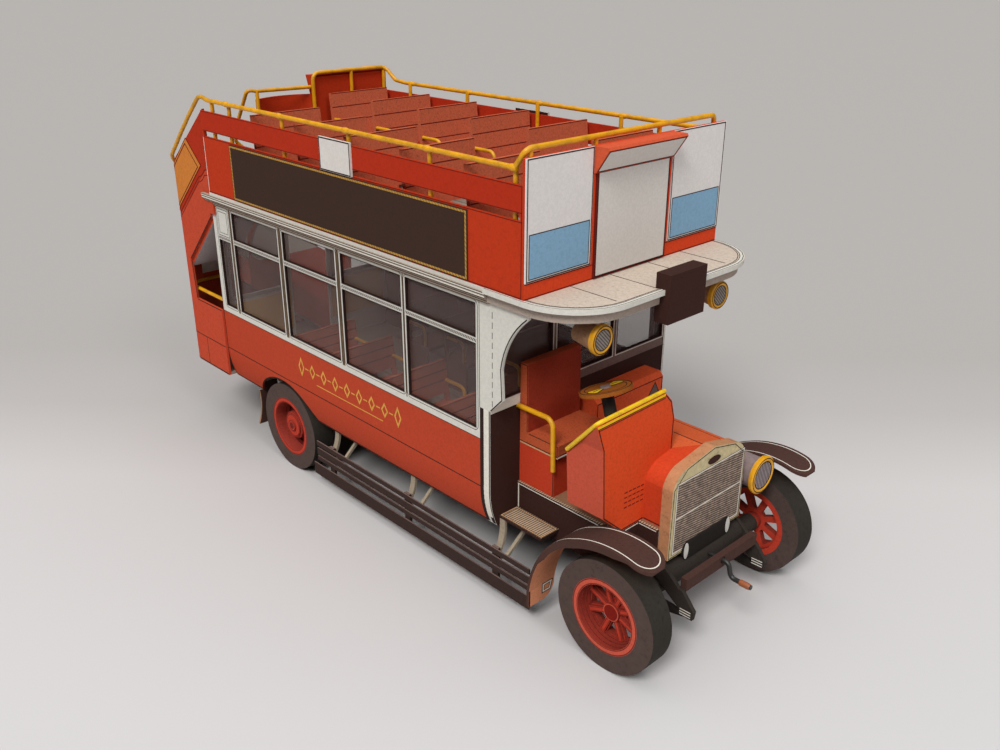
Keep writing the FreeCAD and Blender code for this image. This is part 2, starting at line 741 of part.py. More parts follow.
handles = []
for side, sign in SIDES:
    rows = UPPER_ROWS if side == "nearside" else UPPER_ROWS[1:]
    y = (size("bench_in") + 0.8) * sign
    for x in rows:
        z = size("deck_z")
        handles.append(bent_wire([(x + 2.6, y, z + 23.0), (x + 13.0, y, z + 23.0),
                                  (x + 13.0, y, z + 12.0)], 0.65, 2.6))
for side, sign in SIDES:
    y = 14.0 * sign
    for x in SALOON_ROWS:
        z = size("floor_z")
        handles.append(bent_wire([(x + 2.6, y, z + 21.5), (x + 13.0, y, z + 21.5),
                                  (x + 13.0, y, z + 13.5)], 0.65, 2.6))
wire_node("seat_handles", handles, joined=False)

# ---------------------------------------------------------------- handrails
rail = size("rail_r")
rail_y = size("rail_half")
rail_z = size("rail_z")
post_y = size("post_half")
deck = size("deck_z")
POSTS_X = [-34.3, -21.4, 15.6, 55.5, 96.4, 132.6]

pieces = [bent_wire([
    (-78.5, 27.0, 65.2), (-77.8, -42.8, 116.6), (-62.8, -43.5, 129.6), (-54.7, -43.5, 136.9),
    (-43.0, -43.7, 146.4), (-36.0, -rail_y, rail_z), (132.6, -rail_y, rail_z),
], rail, 7.5)]
for x in POSTS_X:
    pieces.append(straight_wire((x, -post_y, deck), (x, -post_y, rail_z), 0.75))
wire_node("offside_handrail", pieces)

pieces = [bent_wire([
    (-40.2, 6.6, deck), (-40.2, 6.6, 150.9), (-40.2, rail_y, 150.9), (-33.0, rail_y, rail_z + 0.6),
    (-26.0, rail_y, rail_z), (136.0, rail_y, rail_z),
], rail, 3.0)]
pieces.append(straight_wire((-40.2, 26.0, deck), (-40.2, 26.0, 150.9), 0.75))
pieces.append(straight_wire((-40.2, post_y, deck), (-40.2, post_y, 150.4), 0.75))
for x in POSTS_X[1:]:
    pieces.append(straight_wire((x, post_y, deck), (x, post_y, rail_z), 0.75))
wire_node("nearside_handrail", pieces)

front_x = size("panel_front_x") - 0.85
pieces = [bent_wire([
    (133.4, -rail_y, rail_z + 0.3), (front_x + 0.6, -43.4, 150.6), (front_x + 0.6, 40.2, 150.6),
    (front_x, 41.0, 147.0),
], rail, 2.5)]
for y in (-41.5, -15.6, 13.0):
    pieces.append(straight_wire((front_x, y, 142.0), (front_x + 0.3, y, 150.6), 0.7))
wire_node("front_handrail", pieces)

stairhead = bent_wire([
    (-40.9, 5.7, 145.4), (-40.4, -20.0, 146.0), (-41.2, -23.8, 146.7), (-50.0, -23.8, 134.8),
    (-56.0, -23.2, 124.5), (-55.0, 19.0, 84.0), (-55.0, 19.0, size("platform_z")),
], 0.75, 2.5)
stairhead = stairhead.fuse(straight_wire((-40.2, -20.0, deck), (-40.2, -20.0, 146.0), 0.75))
# V-shaped rail inside the dash beside the platform
platform = bent_wire([
    (-45.3, -42.0, 61.5), (-77.0, -42.0, 61.5), (-77.0, -23.0, 61.5),
], 0.75, 7.0)
wire_node("stair_rails", [stairhead, platform], joined=False)

# ---------------------------------------------------------------- driver's cab
body = new_body("cab_floor")
cab_under = dim("cab_floor_z") - 1.2
dash = dim("dash_x")
pad(body, "XY", cab_under, "cab_floor_z", [[
    ("bulkhead_front_x", -dim("cab_half")), (dash - 1.0, -dim("cab_half")),
    (dash - 1.0, -20.0), ("bonnet_front_x", -20.0), ("bonnet_front_x", 20.0),
    (dash - 1.0, 20.0), (dash - 1.0, "cab_half"), ("bulkhead_front_x", "cab_half"),
]])

# dark boards round the edge of the cab floor, with the driver's step
body = new_body("cab_valances")
for side, sign in SIDES:
    near = dim("cab_half") * sign
    far = near + dim("card") * sign
    pad(body, "XY", 25.0, "cab_floor_z", [[
        ("bulkhead_front_x", near), ("bulkhead_front_x", far), (dash, far), (dash, 21.0 * sign),
        ("bonnet_front_x", 21.0 * sign), ("bonnet_front_x", 20.1 * sign),
        (dash - 0.9, 20.1 * sign), (dash - 0.9, near),
    ]])
pad(body, "XY", 29.0, 30.0, [rect(122.0, -39.0, 141.0, -31.0)])

body = new_body("driver_seat")
pad(body, "XZ", -30.0, -5.8, [[
    ("bulkhead_front_x", "cab_floor_z"), (137.2, "cab_floor_z"), (137.2, 53.8), (138.8, 53.8),
    (138.8, 58.2), (125.6, 58.2), (125.2, 81.4), ("bulkhead_front_x", 81.4),
]])

body = new_body("nearside_locker")
pad(body, "XZ", -2.5, 32.5, [[
    ("bulkhead_front_x", "cab_floor_z"), (130.3, "cab_floor_z"), (130.3, 60.7), (128.8, 62.2),
    ("bulkhead_front_x", 62.2),
]])

body = new_body("cab_dash")
pad(body, "YZ", dash - dim("card"), dash, [[
    (-7.0, "cab_floor_z"), (-29.3, "cab_floor_z"), (-37.9, 47.2), (-39.4, 70.0), (-42.5, 78.6),
    (-12.0, 79.4), (-8.8, 76.0), (-7.0, 70.0),
]])
pad(body, "YZ", 150.5, dash - dim("card"), [[
    (-37.9, 47.2), (-39.4, 70.0), (-42.5, 78.6), (-41.5, 78.6), (-38.4, 70.0), (-36.9, 47.2),
]])
cut(body, "XZ", -48.0, -35.0, [[
    (149.0, 64.5), (151.2, 64.5), (164.0, 78.3), (164.0, 82.0), (149.0, 82.0),
]])

body = new_body("bonnet")
shoulder = [
    (-19.0, "cab_floor_z"), (-19.0, "bonnet_side_z", -7.0), (-13.0, 58.4), (0.0, "ridge_z"),
    (10.8, 58.4, -7.0), (16.8, "bonnet_side_z"), (16.8, "cab_floor_z"),
]
pad(body, "YZ", dash, "bonnet_front_x", [shoulder])
pad(body, "YZ", 141.0, dash, [[
    (-6.9, "cab_floor_z"), (-6.9, 59.6), (0.0, "ridge_z"), (10.8, 58.4, -7.0),
    (16.8, "bonnet_side_z"), (16.8, "cab_floor_z"),
]])
cut(body, "YZ", 142.0, dim("bonnet_front_x") - 1.0, [[
    (-5.9, 39.0), (-5.9, 58.4), (0.0, 59.6), (10.4, 57.2), (15.8, 52.6), (15.8, 39.0),
]])
cut(body, "YZ", dash + 1.0, dim("bonnet_front_x") - 1.0, [[
    (-18.0, 39.0), (-18.0, 52.6), (-12.6, 57.2), (-5.0, 58.6), (-5.0, 39.0),
]])

body = new_body("radiator")
shell_half = dim("radiator_half")
pad(body, "YZ", "bonnet_front_x", "radiator_front_x", [[
    (-shell_half, "radiator_low_z"), (-shell_half, 53.6, -7.5), (-13.4, 59.4), (0.0, 61.7),
    (11.2, 59.0, -7.5), (17.0, 53.6), (17.6, "radiator_low_z"),
]])
body = new_body("number_plate")
pad(body, "YZ", "radiator_front_x", dim("radiator_front_x") + 0.6, [[
    (-10.8, 26.8), (10.2, 26.8, 3.2), (10.2, 32.8), (-10.8, 32.8, 3.2),
]])

disc = Part.makeCylinder(8.3, 1.2, Vector(146.8, -18.0, 76.0), Vector(-0.32, 0, 1))
column = straight_wire((146.8, -18.0, 76.2), (158.2, -18.0, size("cab_floor_z") + 0.4), 2.0)
below_floor = Part.makeBox(60, 60, 20, Vector(130, -48, size("cab_floor_z") - 20.0))
wire_node("steering_wheel_and_column", [disc.fuse(column).cut(below_floor)])

wire_node("cab_rails", [
    bent_wire([(122.0, -31.0, 67.0), (137.2, -31.0, 67.2), (137.8, -31.0, 49.6)], 0.8, 3.0),
    bent_wire([(150.8, -39.2, 65.6), (163.9, -41.8, 79.35), (163.9, -12.0, 80.1)], 0.65, 1.6),
], joined=False)

# ---------------------------------------------------------------- lamps and route box
pieces = [
    rod("headlamp_barrel", "x", 169.5, 24.6, 43.4, 5.2, 7.6),
    rod("headlamp_rim", "x", 177.0, 24.6, 43.4, 6.4, 1.2),
    rod("headlamp_back", "x", 168.0, 24.6, 43.4, 3.6, 1.5, 5.2),
    span("headlamp_stay", 171.8, 174.6, 17.2, 20.5, 42.0, 44.0),
]
solid_node("headlamp", pieces)

lamps = []
for side, sign in SIDES:
    y = 28.3 * sign
    lamps.append(fuse(side + "_canopy_lamp", [
        rod(side + "_lamp_barrel", "x", 143.5, y, 97.3, 2.8, 8.2, 4.1),
        rod(side + "_lamp_rim", "x", 151.6, y, 97.3, 4.6, 1.5),
        rod(side + "_lamp_stem", "z", 148.0, y, 98.0, 0.9, 9.5),
    ]))
group("canopy_lamps", lamps)

body = new_body("route_box")
nose = dim("canopy_front_x")
pad(body, "XZ", -8.7, 8.7, [[
    (155.5, 98.7), (160.7, 98.7), (160.7, 113.7), (155.5, 113.7), (155.5, 109.0), (nose, 109.0),
    (nose, 107.5), (nose - 1.8, 107.5), (nose - 1.8, 104.4), (155.5, 104.4),
]])

# ---------------------------------------------------------------- chassis
body = new_body("chassis_frame")
# cross members: rear end, front end, bottom, top
CROSS_MEMBERS = [
    (-76.0, -73.0, 23.8, 27.3), (-30.0, -26.0, 24.0, 29.5), (26.0, 30.0, 24.0, 29.5),
    (72.0, 76.0, 24.0, 29.5), (112.0, 116.0, 24.0, 29.5), (146.0, 150.0, 31.5, 37.5),
]
member = [
    (-76.0, "frame_z"), ("bulkhead_front_x", "frame_z"), (126.0, 31.0), (160.0, 31.0),
    (183.4, 13.8), (186.0, 13.8), (186.4, 16.8), (181.6, 22.3), (180.4, 22.3), (171.5, 29.8),
    (163.0, 37.0), (160.0, cab_under), ("bulkhead_front_x", cab_under),
    ("bulkhead_front_x", 26.5),
    (-76.0, 26.5),
]
for side, sign in SIDES:
    pad(body, "XZ", dim("frame_in") * sign, dim("frame_out") * sign, [member])
between = dim("frame_in")
for x0, x1, z0, z1 in CROSS_MEMBERS:
    pad(body, "YZ", x0, x1, [rect(-between, z0, between, z1)])

hub_z = dim("tyre_r")
front_x = dim("wheelbase")


def axle_bar(name, x, stub_end, extras):
    """Dead axle: a tube from wheel to wheel with a stub for each hub."""
    items = [
        rod(name + "_tube", "y", x, -33.3, hub_z, 3.2, 66.6),
        rod(name + "_stubs", "y", x, -stub_end, hub_z, "stub_r", 2.0 * stub_end),
    ]
    return solid_node(name, items + extras)


axle_bar("front_axle", front_x, 38.6,
         [rod("axle_roll", "y", front_x + 2.0, -18.5, 22.8, 4.6, 37.0)])
axle_bar("rear_axle", 0.0, 40.6, [rod("final_drive", "y", 0.0, -7.0, hub_z, 5.4, 14.0)])

body = new_body("leaf_springs")
for side, sign in SIDES:
    pad(body, "XZ", dim("frame_in") * sign, dim("frame_out") * sign, [[
        (153.0, 19.5), (155.0, 16.4), (163.0, 13.4), (178.0, 12.6), (183.4, 13.8),
        (178.0, 15.2), (163.0, 15.2), (157.0, 18.6), (155.0, 31.0), (152.6, 31.0),
    ]])
for side, sign in SIDES:
    pad(body, "XZ", dim("frame_in") * sign, dim("frame_out") * sign, [[
        (-24.0, "frame_z"), (-8.0, 21.6), (8.0, 21.6), (24.0, "frame_z"),
    ]])

body = new_body("front_beam")
pad(body, "YZ", 180.0, 182.2, [rect(-between, 21.8, between, 25.9), ("circle", 0.0, 24.4, 1.1)])
wire_node("starting_handle", [bent_wire([
    (177.1, 0.0, 24.4), (184.4, 0.0, 24.4), (185.6, 0.0, 19.6), (193.0, 0.0, 19.6),
], 0.8, 2.0)])

# ---------------------------------------------------------------- mudguards and side guards
body = new_body("front_mudguards")
GUARD_TOP = [
    (141.4, 7.8), (141.4, 14.0, -40.0), (147.0, 30.1, -24.0), (159.0, 41.0, -36.0),
    (175.0, 44.8, -30.0), (187.2, 42.2),
]
GUARD_UNDER = [
    (186.8, 41.3, 29.0), (175.0, 43.9, 35.0), (159.4, 40.0, 23.0), (147.9, 29.6, 39.0),
    (142.4, 13.8), (142.4, 7.8),
]
GUARD_LIP = [
    (144.6, 24.2, -39.5), (147.45, 29.85, -23.5), (159.2, 40.5, -35.5), (175.0, 44.35, -29.5),
    (181.8, 43.45, 33.0), (174.9, 42.6, 33.8), (160.0, 38.7, 22.0), (148.6, 29.0, 38.0),
]
LIP_WIDTH = 0.6
TIP_R = 5.6
TIP_X = 181.8
FLAP_R = 5.5
for side, sign in SIDES:
    outer = dim("mudguard_out") * sign
    pad(body, "XZ", dim("mudguard_in") * sign, outer, [GUARD_TOP + GUARD_UNDER])
    pad(body, "XZ", outer - LIP_WIDTH * sign, outer, [GUARD_LIP])
    # round the two corners of the front tip
    for corner, reach in [("mudguard_in", TIP_R), ("mudguard_out", -TIP_R)]:
        edge = dim(corner) * sign
        beyond = edge - reach * 0.2 * sign
        cut(body, "XY", 36.0, 46.0, [[
            (TIP_X, edge, reach * sign), (187.4, edge + reach * sign),
            (189.0, edge + reach * sign), (189.0, beyond), (TIP_X, beyond),
        ]])
    # round the inner bottom corner of the rear flap
    edge = dim("mudguard_in") * sign
    cut(body, "YZ", 141.0, 143.0, [[
        (edge, 13.3, FLAP_R * sign), (edge + FLAP_R * sign, 7.8), (edge + FLAP_R * sign, 7.0),
        (edge - sign, 7.0), (edge - sign, 13.3),
    ]])
    pad(body, "XZ", 31.0 * sign, 35.0 * sign, [[
        (149.0, 30.5), (152.5, 30.5), (160.5, 38.0), (160.5, 40.9), (153.0, 36.6),
    ]])

# name, rear end, bottom, top
SLATS = [("slat_1", 20.6, 17.8, 19.8), ("slat_2", 20.6, 13.9, 16.8), ("slat_3", 20.6, 11.4, 13.2),
         ("board", 17.6, 4.3, 9.3)]
STRAPS_X = [29.6, 77.0, 123.4]
guards = []
for side, sign in SIDES:
    items = []
    for name, x0, z0, z1 in SLATS:
        items.append(span("%s_guard_%s" % (side, name), x0, 140.0, dim("guard_in") * sign,
                          dim("guard_out") * sign, z0, z1))
    for i, x in enumerate(STRAPS_X):
        items.append(span("%s_guard_strap_%d" % (side, i), x - 1.4, x + 1.4, 41.2 * sign,
                          42.3 * sign, 4.3, 19.8))
    guards.append(fuse(side + "_guard", items))
group("side_guards", guards)

# rear face of each tie, then the two corners of its upper end in the plane across the bus
UNDER_FLOOR = [(31.9, 29.5), (30.2, 29.5)]
ON_VALANCE = [(dim("cab_half") + dim("card"), 28.6), (dim("cab_half") + dim("card"), 27.2)]
TIES_X = [(38.8, UNDER_FLOOR), (85.0, UNDER_FLOOR), (128.4, ON_VALANCE)]
body = new_body("guard_brackets")
for side, sign in SIDES:
    for x, (tie_x, upper_end) in zip(STRAPS_X, TIES_X):
        top = 29.5 if x < size("saloon_front_x") else 29.0
        pad(body, "YZ", x - 1.2, x + 1.2, [[
            (41.2 * sign, 13.0), (41.2 * sign, 18.0, -16.0 * sign), (39.0 * sign, 26.0),
            (39.0 * sign, top), (31.0 * sign, top), (31.0 * sign, top - 1.0),
            (38.0 * sign, top - 1.0), (38.0 * sign, 26.0, 15.0 * sign), (40.2 * sign, 18.0),
            (40.2 * sign, 13.0),
        ]])
        ends = [(dim(y) * sign, z) for y, z in upper_end]
        pad(body, "YZ", tie_x, tie_x + 1.2, [
            [(dim("guard_in") * sign, 18.2), (dim("guard_in") * sign, 19.6)] + ends,
        ])

body = new_body("rear_mudflaps")
for side, sign in SIDES:
    pad(body, "YZ", -24.9, -24.1, [[
        (32.6 * sign, 29.5), (38.8 * sign, 29.5), (38.8 * sign, 26.3), (41.4 * sign, 26.3, 30.0 * sign),
        (43.0 * sign, 10.8), (33.6 * sign, 10.8), (32.6 * sign, 18.0),
    ]])

# ---------------------------------------------------------------- wheels
def wheel_body(name, x):
    body = new_body(name)
    bind(body, "Placement.Base.x", dim("rear_axle_x") + x)
    bind(body, "Placement.Base.z", "tyre_r")
    return body


# depth from the outer face and inner radius of each step inside a front rim
BARREL_STEPS = [(1.6, 10.1), (3.0, 9.8), (4.2, 9.4)]
WHEELS = [
    ("front_offside", "wheelbase", -1.0, True), ("front_nearside", "wheelbase", 1.0, True),
    ("rear_offside", 0.0, -1.0, False), ("rear_nearside", 0.0, 1.0, False),
]
for name, x, sign, spoked in WHEELS:
    body = wheel_body(name + "_tyre", x)
    near = dim("tyre_in") * sign
    far = dim("tyre_out") * sign
    pad(body, "XZ", near, far, [("circle", 0.0, 0.0, "tyre_r"), ("circle", 0.0, 0.0, "rim_r")])

    body = wheel_body(name + "_wheel", x)
    bore = ("circle", 0.0, 0.0, "bore_r")
    pad(body, "XZ", near, far, [("circle", 0.0, 0.0, "rim_r"), ("circle", 0.0, 0.0, "rim_bore_r")])
    if spoked:
        for depth, radius in BARREL_STEPS:
            pad(body, "XZ", 36.0 * sign, far - depth * sign,
                [("circle", 0.0, 0.0, dim("rim_bore_r") + 0.2), ("circle", 0.0, 0.0, radius)])
        pad(body, "XZ", 36.0 * sign, 37.4 * sign,
            [("circle", 0.0, 0.0, dim("rim_bore_r") + 0.2), bore])
        window = cut(body, "XZ", 35.0 * sign, 38.4 * sign, [[
            (-0.7, 4.4), (0.7, 4.4), (2.5, 9.2), (-2.5, 9.2),
        ]])
        pattern = body.newObject("PartDesign::PolarPattern", name + "_windows")
        pattern.Originals = [window]
        pattern.Axis = (axis_of(body, "Y"), [""])
        pattern.Angle = 360.0
        pattern.Occurrences = 8
        body.Tip = pattern
        doc.recompute()
        for i in range(4):
            turn = math.radians(22.5 + 45.0 * i)
            long_x, long_z = 9.6 * math.cos(turn), 9.6 * math.sin(turn)
            wide_x, wide_z = -0.85 * math.sin(turn), 0.85 * math.cos(turn)
            pad(body, "XZ", 37.0 * sign, 38.4 * sign, [[
                (long_x - wide_x, long_z - wide_z), (long_x + wide_x, long_z + wide_z),
                (wide_x - long_x, wide_z - long_z), (-long_x - wide_x, -long_z - wide_z),
            ]])
        cut(body, "XZ", 33.0 * sign, 40.0 * sign, [bore])
        pad(body, "XZ", 34.4 * sign, 38.7 * sign, [("circle", 0.0, 0.0, 2.9), bore])
        pad(body, "XZ", 38.7 * sign, 39.3 * sign, [("circle", 0.0, 0.0, 2.9)])
    else:
        pad(body, "XZ", 35.0 * sign, 36.4 * sign,
            [("circle", 0.0, 0.0, dim("rim_bore_r") + 0.2), bore])
        pad(body, "XZ", 36.4 * sign, 37.4 * sign,
            [("circle", 0.0, 0.0, dim("rim_bore_r") + 0.2), ("circle", 0.0, 0.0, 8.6)])
        pad(body, "XZ", 36.4 * sign, 40.2 * sign, [("circle", 0.0, 0.0, 5.8), bore])
        pad(body, "XZ", 40.2 * sign, 41.0 * sign, [("circle", 0.0, 0.0, 4.9), bore])
        pad(body, "XZ", 41.0 * sign, 41.6 * sign, [("circle", 0.0, 0.0, 2.4)])

# ---------------------------------------------------------------- check and write
doc.recompute()
faults = 0
for obj in doc.Objects:
    if "Invalid" in obj.State or "Error" in obj.State:
        print("STATE", obj.Name, obj.State)
        faults += 1
for name, obj in FINAL.items():
    shape = obj.Shape
    if shape.isNull() or not shape.isValid() or shape.Volume <= 0:
        print("BAD SHAPE", name)
        faults += 1
        continue
    bounds = shape.BoundBox
    print("%-28s %8.1f mm3  solids %2d  x %7.1f %7.1f  y %6.1f %6.1f  z %6.1f %6.1f" % (
        name, shape.Volume, len(shape.Solids), bounds.XMin, bounds.XMax, bounds.YMin,
        bounds.YMax, bounds.ZMin, bounds.ZMax))
print("nodes", len(FINAL), "faults", faults)
if faults == 0:
    for name, obj in FINAL.items():
        obj.Shape.exportStep("parts/%s.step" % name)
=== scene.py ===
import bmesh
import bpy
from cmath import exp, phase
from math import atan2, cos, hypot, pi, radians, sin, sqrt
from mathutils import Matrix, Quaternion, Vector
from mathutils.geometry import tessellate_polygon


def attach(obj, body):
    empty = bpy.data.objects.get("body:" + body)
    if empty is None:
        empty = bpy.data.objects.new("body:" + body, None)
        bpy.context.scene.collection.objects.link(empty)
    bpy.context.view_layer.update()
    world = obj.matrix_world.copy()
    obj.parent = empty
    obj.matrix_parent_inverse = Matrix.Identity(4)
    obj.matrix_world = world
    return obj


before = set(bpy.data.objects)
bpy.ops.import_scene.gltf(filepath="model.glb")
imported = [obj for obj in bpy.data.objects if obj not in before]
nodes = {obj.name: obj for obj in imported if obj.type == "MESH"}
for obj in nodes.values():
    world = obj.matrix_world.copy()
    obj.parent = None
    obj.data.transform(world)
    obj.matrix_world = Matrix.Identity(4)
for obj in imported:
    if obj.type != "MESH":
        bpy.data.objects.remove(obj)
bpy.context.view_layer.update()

# Card model of an open-top bus. Lengths are in millimetres measured from the rear
# axle line, as in the part source, and turned into metres when a mesh is made.
# The numbers given to a print are places on the bus in those millimetres, then a width.
MM = 0.001
REAR_AXLE = -57.0
SIDES = [("offside", -1.0), ("nearside", 1.0)]
scene = bpy.context.scene

# Floors and walls that carry most of the print
PLATFORM_Z, SALOON_Z, CAB_Z, DECK_Z = 28.5, 31.0, 39.6, 109.0
BODY_HALF, DECK_HALF = 43.0, 45.0
BULKHEAD_X = 122.0
BELT_Z, ROCKER_R = 40.5, 34.17


def at(x, y, z):
    return Vector(((x + REAR_AXLE) * MM, y * MM, z * MM))


# ---------- materials
def linear(rgb):
    """A colour given in steps of 0 to 255, as linear light."""
    parts = [channel / 255.0 for channel in rgb]
    return [c / 12.92 if c <= 0.04045 else ((c + 0.055) / 1.055) ** 2.4 for c in parts]


def shade(rgb, factor):
    return [min(channel * factor, 250.0) for channel in rgb]


def feed(tree, target, sockets):
    """Give each input of a node its value, or a link from the output that feeds it."""
    for key, value in sockets.items():
        if isinstance(value, bpy.types.NodeSocket):
            tree.links.new(value, target.inputs[key])
        else:
            target.inputs[key].default_value = value


def node(tree, kind, sockets, **settings):
    made = tree.nodes.new("ShaderNode" + kind)
    for key, value in settings.items():
        setattr(made, key, value)
    feed(tree, made, sockets)
    return made


def noise(tree, scale, detail=5.0, rough=0.78):
    place = node(tree, "TexCoord", {}).outputs["Object"]
    texture = node(tree, "TexNoise", {"Vector": place, "Scale": scale, "Detail": detail, "Roughness": rough})
    return texture.outputs["Fac"]


def measure(tree, direction, coordinates="Object"):
    """How far each place lies along a direction."""
    place = node(tree, "TexCoord", {}).outputs[coordinates]
    return node(tree, "VectorMath", {0: place, 1: direction}, operation="DOT_PRODUCT").outputs["Value"]


def ramp(tree, source, stops):
    made = node(tree, "ValToRGB", {"Fac": source})
    elements = made.color_ramp.elements
    while len(elements) < len(stops):
        elements.new(0.5)
    for element, (place, rgb) in zip(elements, stops):
        element.position = place
        element.color = (*linear(rgb), 1.0)
    return made.outputs["Color"]


def mixed(tree, share, low, high, blend="MIX"):
    mix = node(tree, "Mix", {"Factor": share, "A": low, "B": high}, data_type="RGBA", blend_type=blend)
    return mix.outputs["Result"]


def new_material(name, slot, sockets, colour, relief=None):
    """Material whose colour is built by a function of its node tree.

    Relief is the scale of its bumps, their depth in mm and their strength."""
    material = bpy.data.materials.new(name)
    material.use_nodes = True
    material["record_slot"] = slot
    tree = material.node_tree
    shader = tree.nodes["Principled BSDF"]
    feed(tree, shader, {**sockets, "Base Color": colour(tree)})
    if relief:
        scale, depth, strength = relief
        height = noise(tree, scale, detail=3.0, rough=0.6)
        bump = node(tree, "Bump", {"Strength": strength, "Distance": depth * MM, "Height": height})
        feed(tree, shader, {"Normal": bump.outputs["Normal"]})
    return material


GRAIN = 1100.0      # scale of the printed grain
FIBRE = 2600.0      # scale of the paper's fibre
MATT = {"Roughness": 0.82, "Specular IOR Level": 0.12}
MATT_RELIEF = (FIBRE, 0.02, 0.35)


def card(name, slot, rgb, speck=0.08, scale=GRAIN):
    """Matt printed card: one ink with a fine printed grain and a little fibre."""
    def colour(tree):
        return ramp(tree, noise(tree, scale), [
            (0.28, shade(rgb, 1.0 - 1.5 * speck)), (0.46, shade(rgb, 0.99)),
            (0.58, shade(rgb, 1.02)), (0.78, shade(rgb, 1.0 + speck)),
        ])
    return new_material(name, slot, MATT, colour, MATT_RELIEF)


def hatched(name, slot, rgb_a, rgb_b, pitch, direction, share=0.5, speck=0.1):
    """Card printed with fine parallel lines, pitch in mm across the direction."""
    edge, pale = 0.08, (250, 250, 250)

    def colour(tree):
        per_line = hypot(*direction) * pitch * MM
        lines = measure(tree, [d / per_line for d in direction])
        wrap = node(tree, "Math", {0: lines}, operation="FRACT").outputs["Value"]
        bands = ramp(tree, wrap, [
            (0.0, rgb_a), (share - edge, rgb_a), (share + edge, rgb_b), (1.0 - edge, rgb_b), (1.0, rgb_a),
        ])
        grain = noise(tree, scale=500.0, rough=0.75)
        cloud = ramp(tree, grain, [(0.25, shade(pale, 1.0 - 2.0 * speck)), (0.75, pale)])
        return mixed(tree, 1.0, bands, cloud, "MULTIPLY")
    return new_material(name, slot, {"Roughness": 0.72, "Specular IOR Level": 0.25}, colour,
                        (FIBRE, 0.03, 0.35))


def two_tone(name, slot, rgb_low, rgb_high, direction, level, speck=0.08):
    """Card printed in two inks, parted where direction . position passes a level in mm."""
    def colour(tree):
        above = node(tree, "Math", {0: measure(tree, direction), 1: level * MM}, operation="GREATER_THAN")
        grain = noise(tree, GRAIN)
        low, high = [ramp(tree, grain, [
            (0.28, shade(rgb, 1.0 - 1.5 * speck)), (0.5, rgb), (0.78, shade(rgb, 1.0 + speck)),
        ]) for rgb in (rgb_low, rgb_high)]
        return mixed(tree, above.outputs["Value"], low, high)
    return new_material(name, slot, MATT, colour, MATT_RELIEF)


def paint_metal(name, slot, rgb):
    """Brush-painted wire with faint brush unevenness."""
    def colour(tree):
        return ramp(tree, noise(tree, scale=260.0, detail=4.0, rough=0.65), [
            (0.3, shade(rgb, 0.86)), (0.5, rgb), (0.75, shade(rgb, 1.07)),
        ])
    return new_material(name, slot, {"Roughness": 0.42}, colour, (900.0, 0.06, 0.5))


def film(name, slot):
    """Clear film with a smoky tint."""
    def colour(tree):
        smoke = noise(tree, scale=90.0, detail=3.0, rough=0.5)
        return ramp(tree, smoke, [(0.3, (108, 90, 86)), (0.7, (118, 100, 96))])
    return new_material(name, slot, {"Roughness": 0.12, "Specular IOR Level": 0.35, "Alpha": 0.24}, colour)


# Inks by slot: red, green, blue, then the speck and the scale of the grain where they aren't the usual
INKS = {
    "red_card": {
        "red_side": (180, 66, 40), "red_upper": (184, 54, 22), "red_band": (174, 46, 20),
        "red_front": (216, 70, 34), "red_stair": (190, 70, 42), "red_inner": (112, 38, 24),
        "orange": (204, 86, 54), "hood": (198, 66, 32), "bonnet_side": (190, 80, 52),
        "bonnet_top": (206, 92, 50), "dash": (218, 76, 34), "wing": (192, 82, 60), "locker": (238, 96, 54),
        "dark_red": (104, 28, 20), "lozenge_amber": (200, 122, 52, 0.1), "tan_line": (204, 160, 118),
    },
    "seat_card": {
        "seat_box": (190, 60, 34), "seat_back_painted_shade": (150, 52, 32, 0.2, 1500.0),
        "seat_plank": (194, 98, 68, 0.26, 1500.0), "seat_painted_shade": (112, 58, 44, 0.26, 1500.0),
        "cushion": (184, 84, 50, 0.28, 1500.0),
    },
    "cream_card": {
        "cream": (222, 216, 204, 0.03), "frame_white": (208, 205, 196, 0.025),
        "bone": (198, 182, 166, 0.14, 900.0), "cornice_grey": (168, 152, 136, 0.1),
        "skirt_grey": (168, 152, 140, 0.1),
    },
    "brown_card": {
        "mauve": (120, 98, 92, 0.15), "brown": (74, 50, 44, 0.14), "brown_deep": (58, 34, 29, 0.14),
        "slat_brown": (58, 43, 38, 0.14), "amber": (156, 88, 30, 0.14), "flap": (206, 134, 98, 0.12),
    },
    "advert_card": {
        "board_brown": (60, 42, 34), "board_white": (222, 217, 214, 0.015),
        "board_blue": (130, 168, 196, 0.06),
    },
    "white_card": {"white": (214, 208, 202, 0.015)},
    "black_card": {
        "black": (38, 33, 30, 0.2), "black_soft": (52, 46, 41, 0.18), "ink": (48, 32, 28, 0.1),
    },
    "floor_card": {
        "floor_print": (150, 133, 120, 0.14), "cab_boards": (142, 102, 76, 0.14),
        "soffit": (176, 166, 166, 0.1),
    },
    "grey_card": {
        "tan": (150, 112, 84, 0.2), "tan_board": (240, 190, 116, 0.06),
        "radiator_shell": (184, 130, 92, 0.16, 500.0), "radiator_front": (196, 180, 140, 0.18, 500.0),
        "lamp_grey": (134, 118, 116, 0.14), "bracket": (156, 142, 122, 0.12),
    },
    "wheel_card": {
        "wheel_face": (196, 84, 64, 0.1), "wheel_inner": (140, 50, 38, 0.14),
        "wheel_spoke": (185, 60, 42, 0.12), "wheel_rear": (150, 56, 44, 0.14),
        "wheel_dish_painted_shade": (112, 38, 30, 0.14), "wheel_dark": (110, 38, 32, 0.14),
        "hub_red": (122, 24, 14, 0.12),
    },
    "tyre_card": {
        "tyre_wall": (80, 65, 60, 0.14, 600.0), "tyre_tread": (50, 46, 41, 0.16, 700.0),
    },
    "yellow_wire": {"gold": (210, 156, 72, 0.14), "lemon": (232, 190, 30)},
}
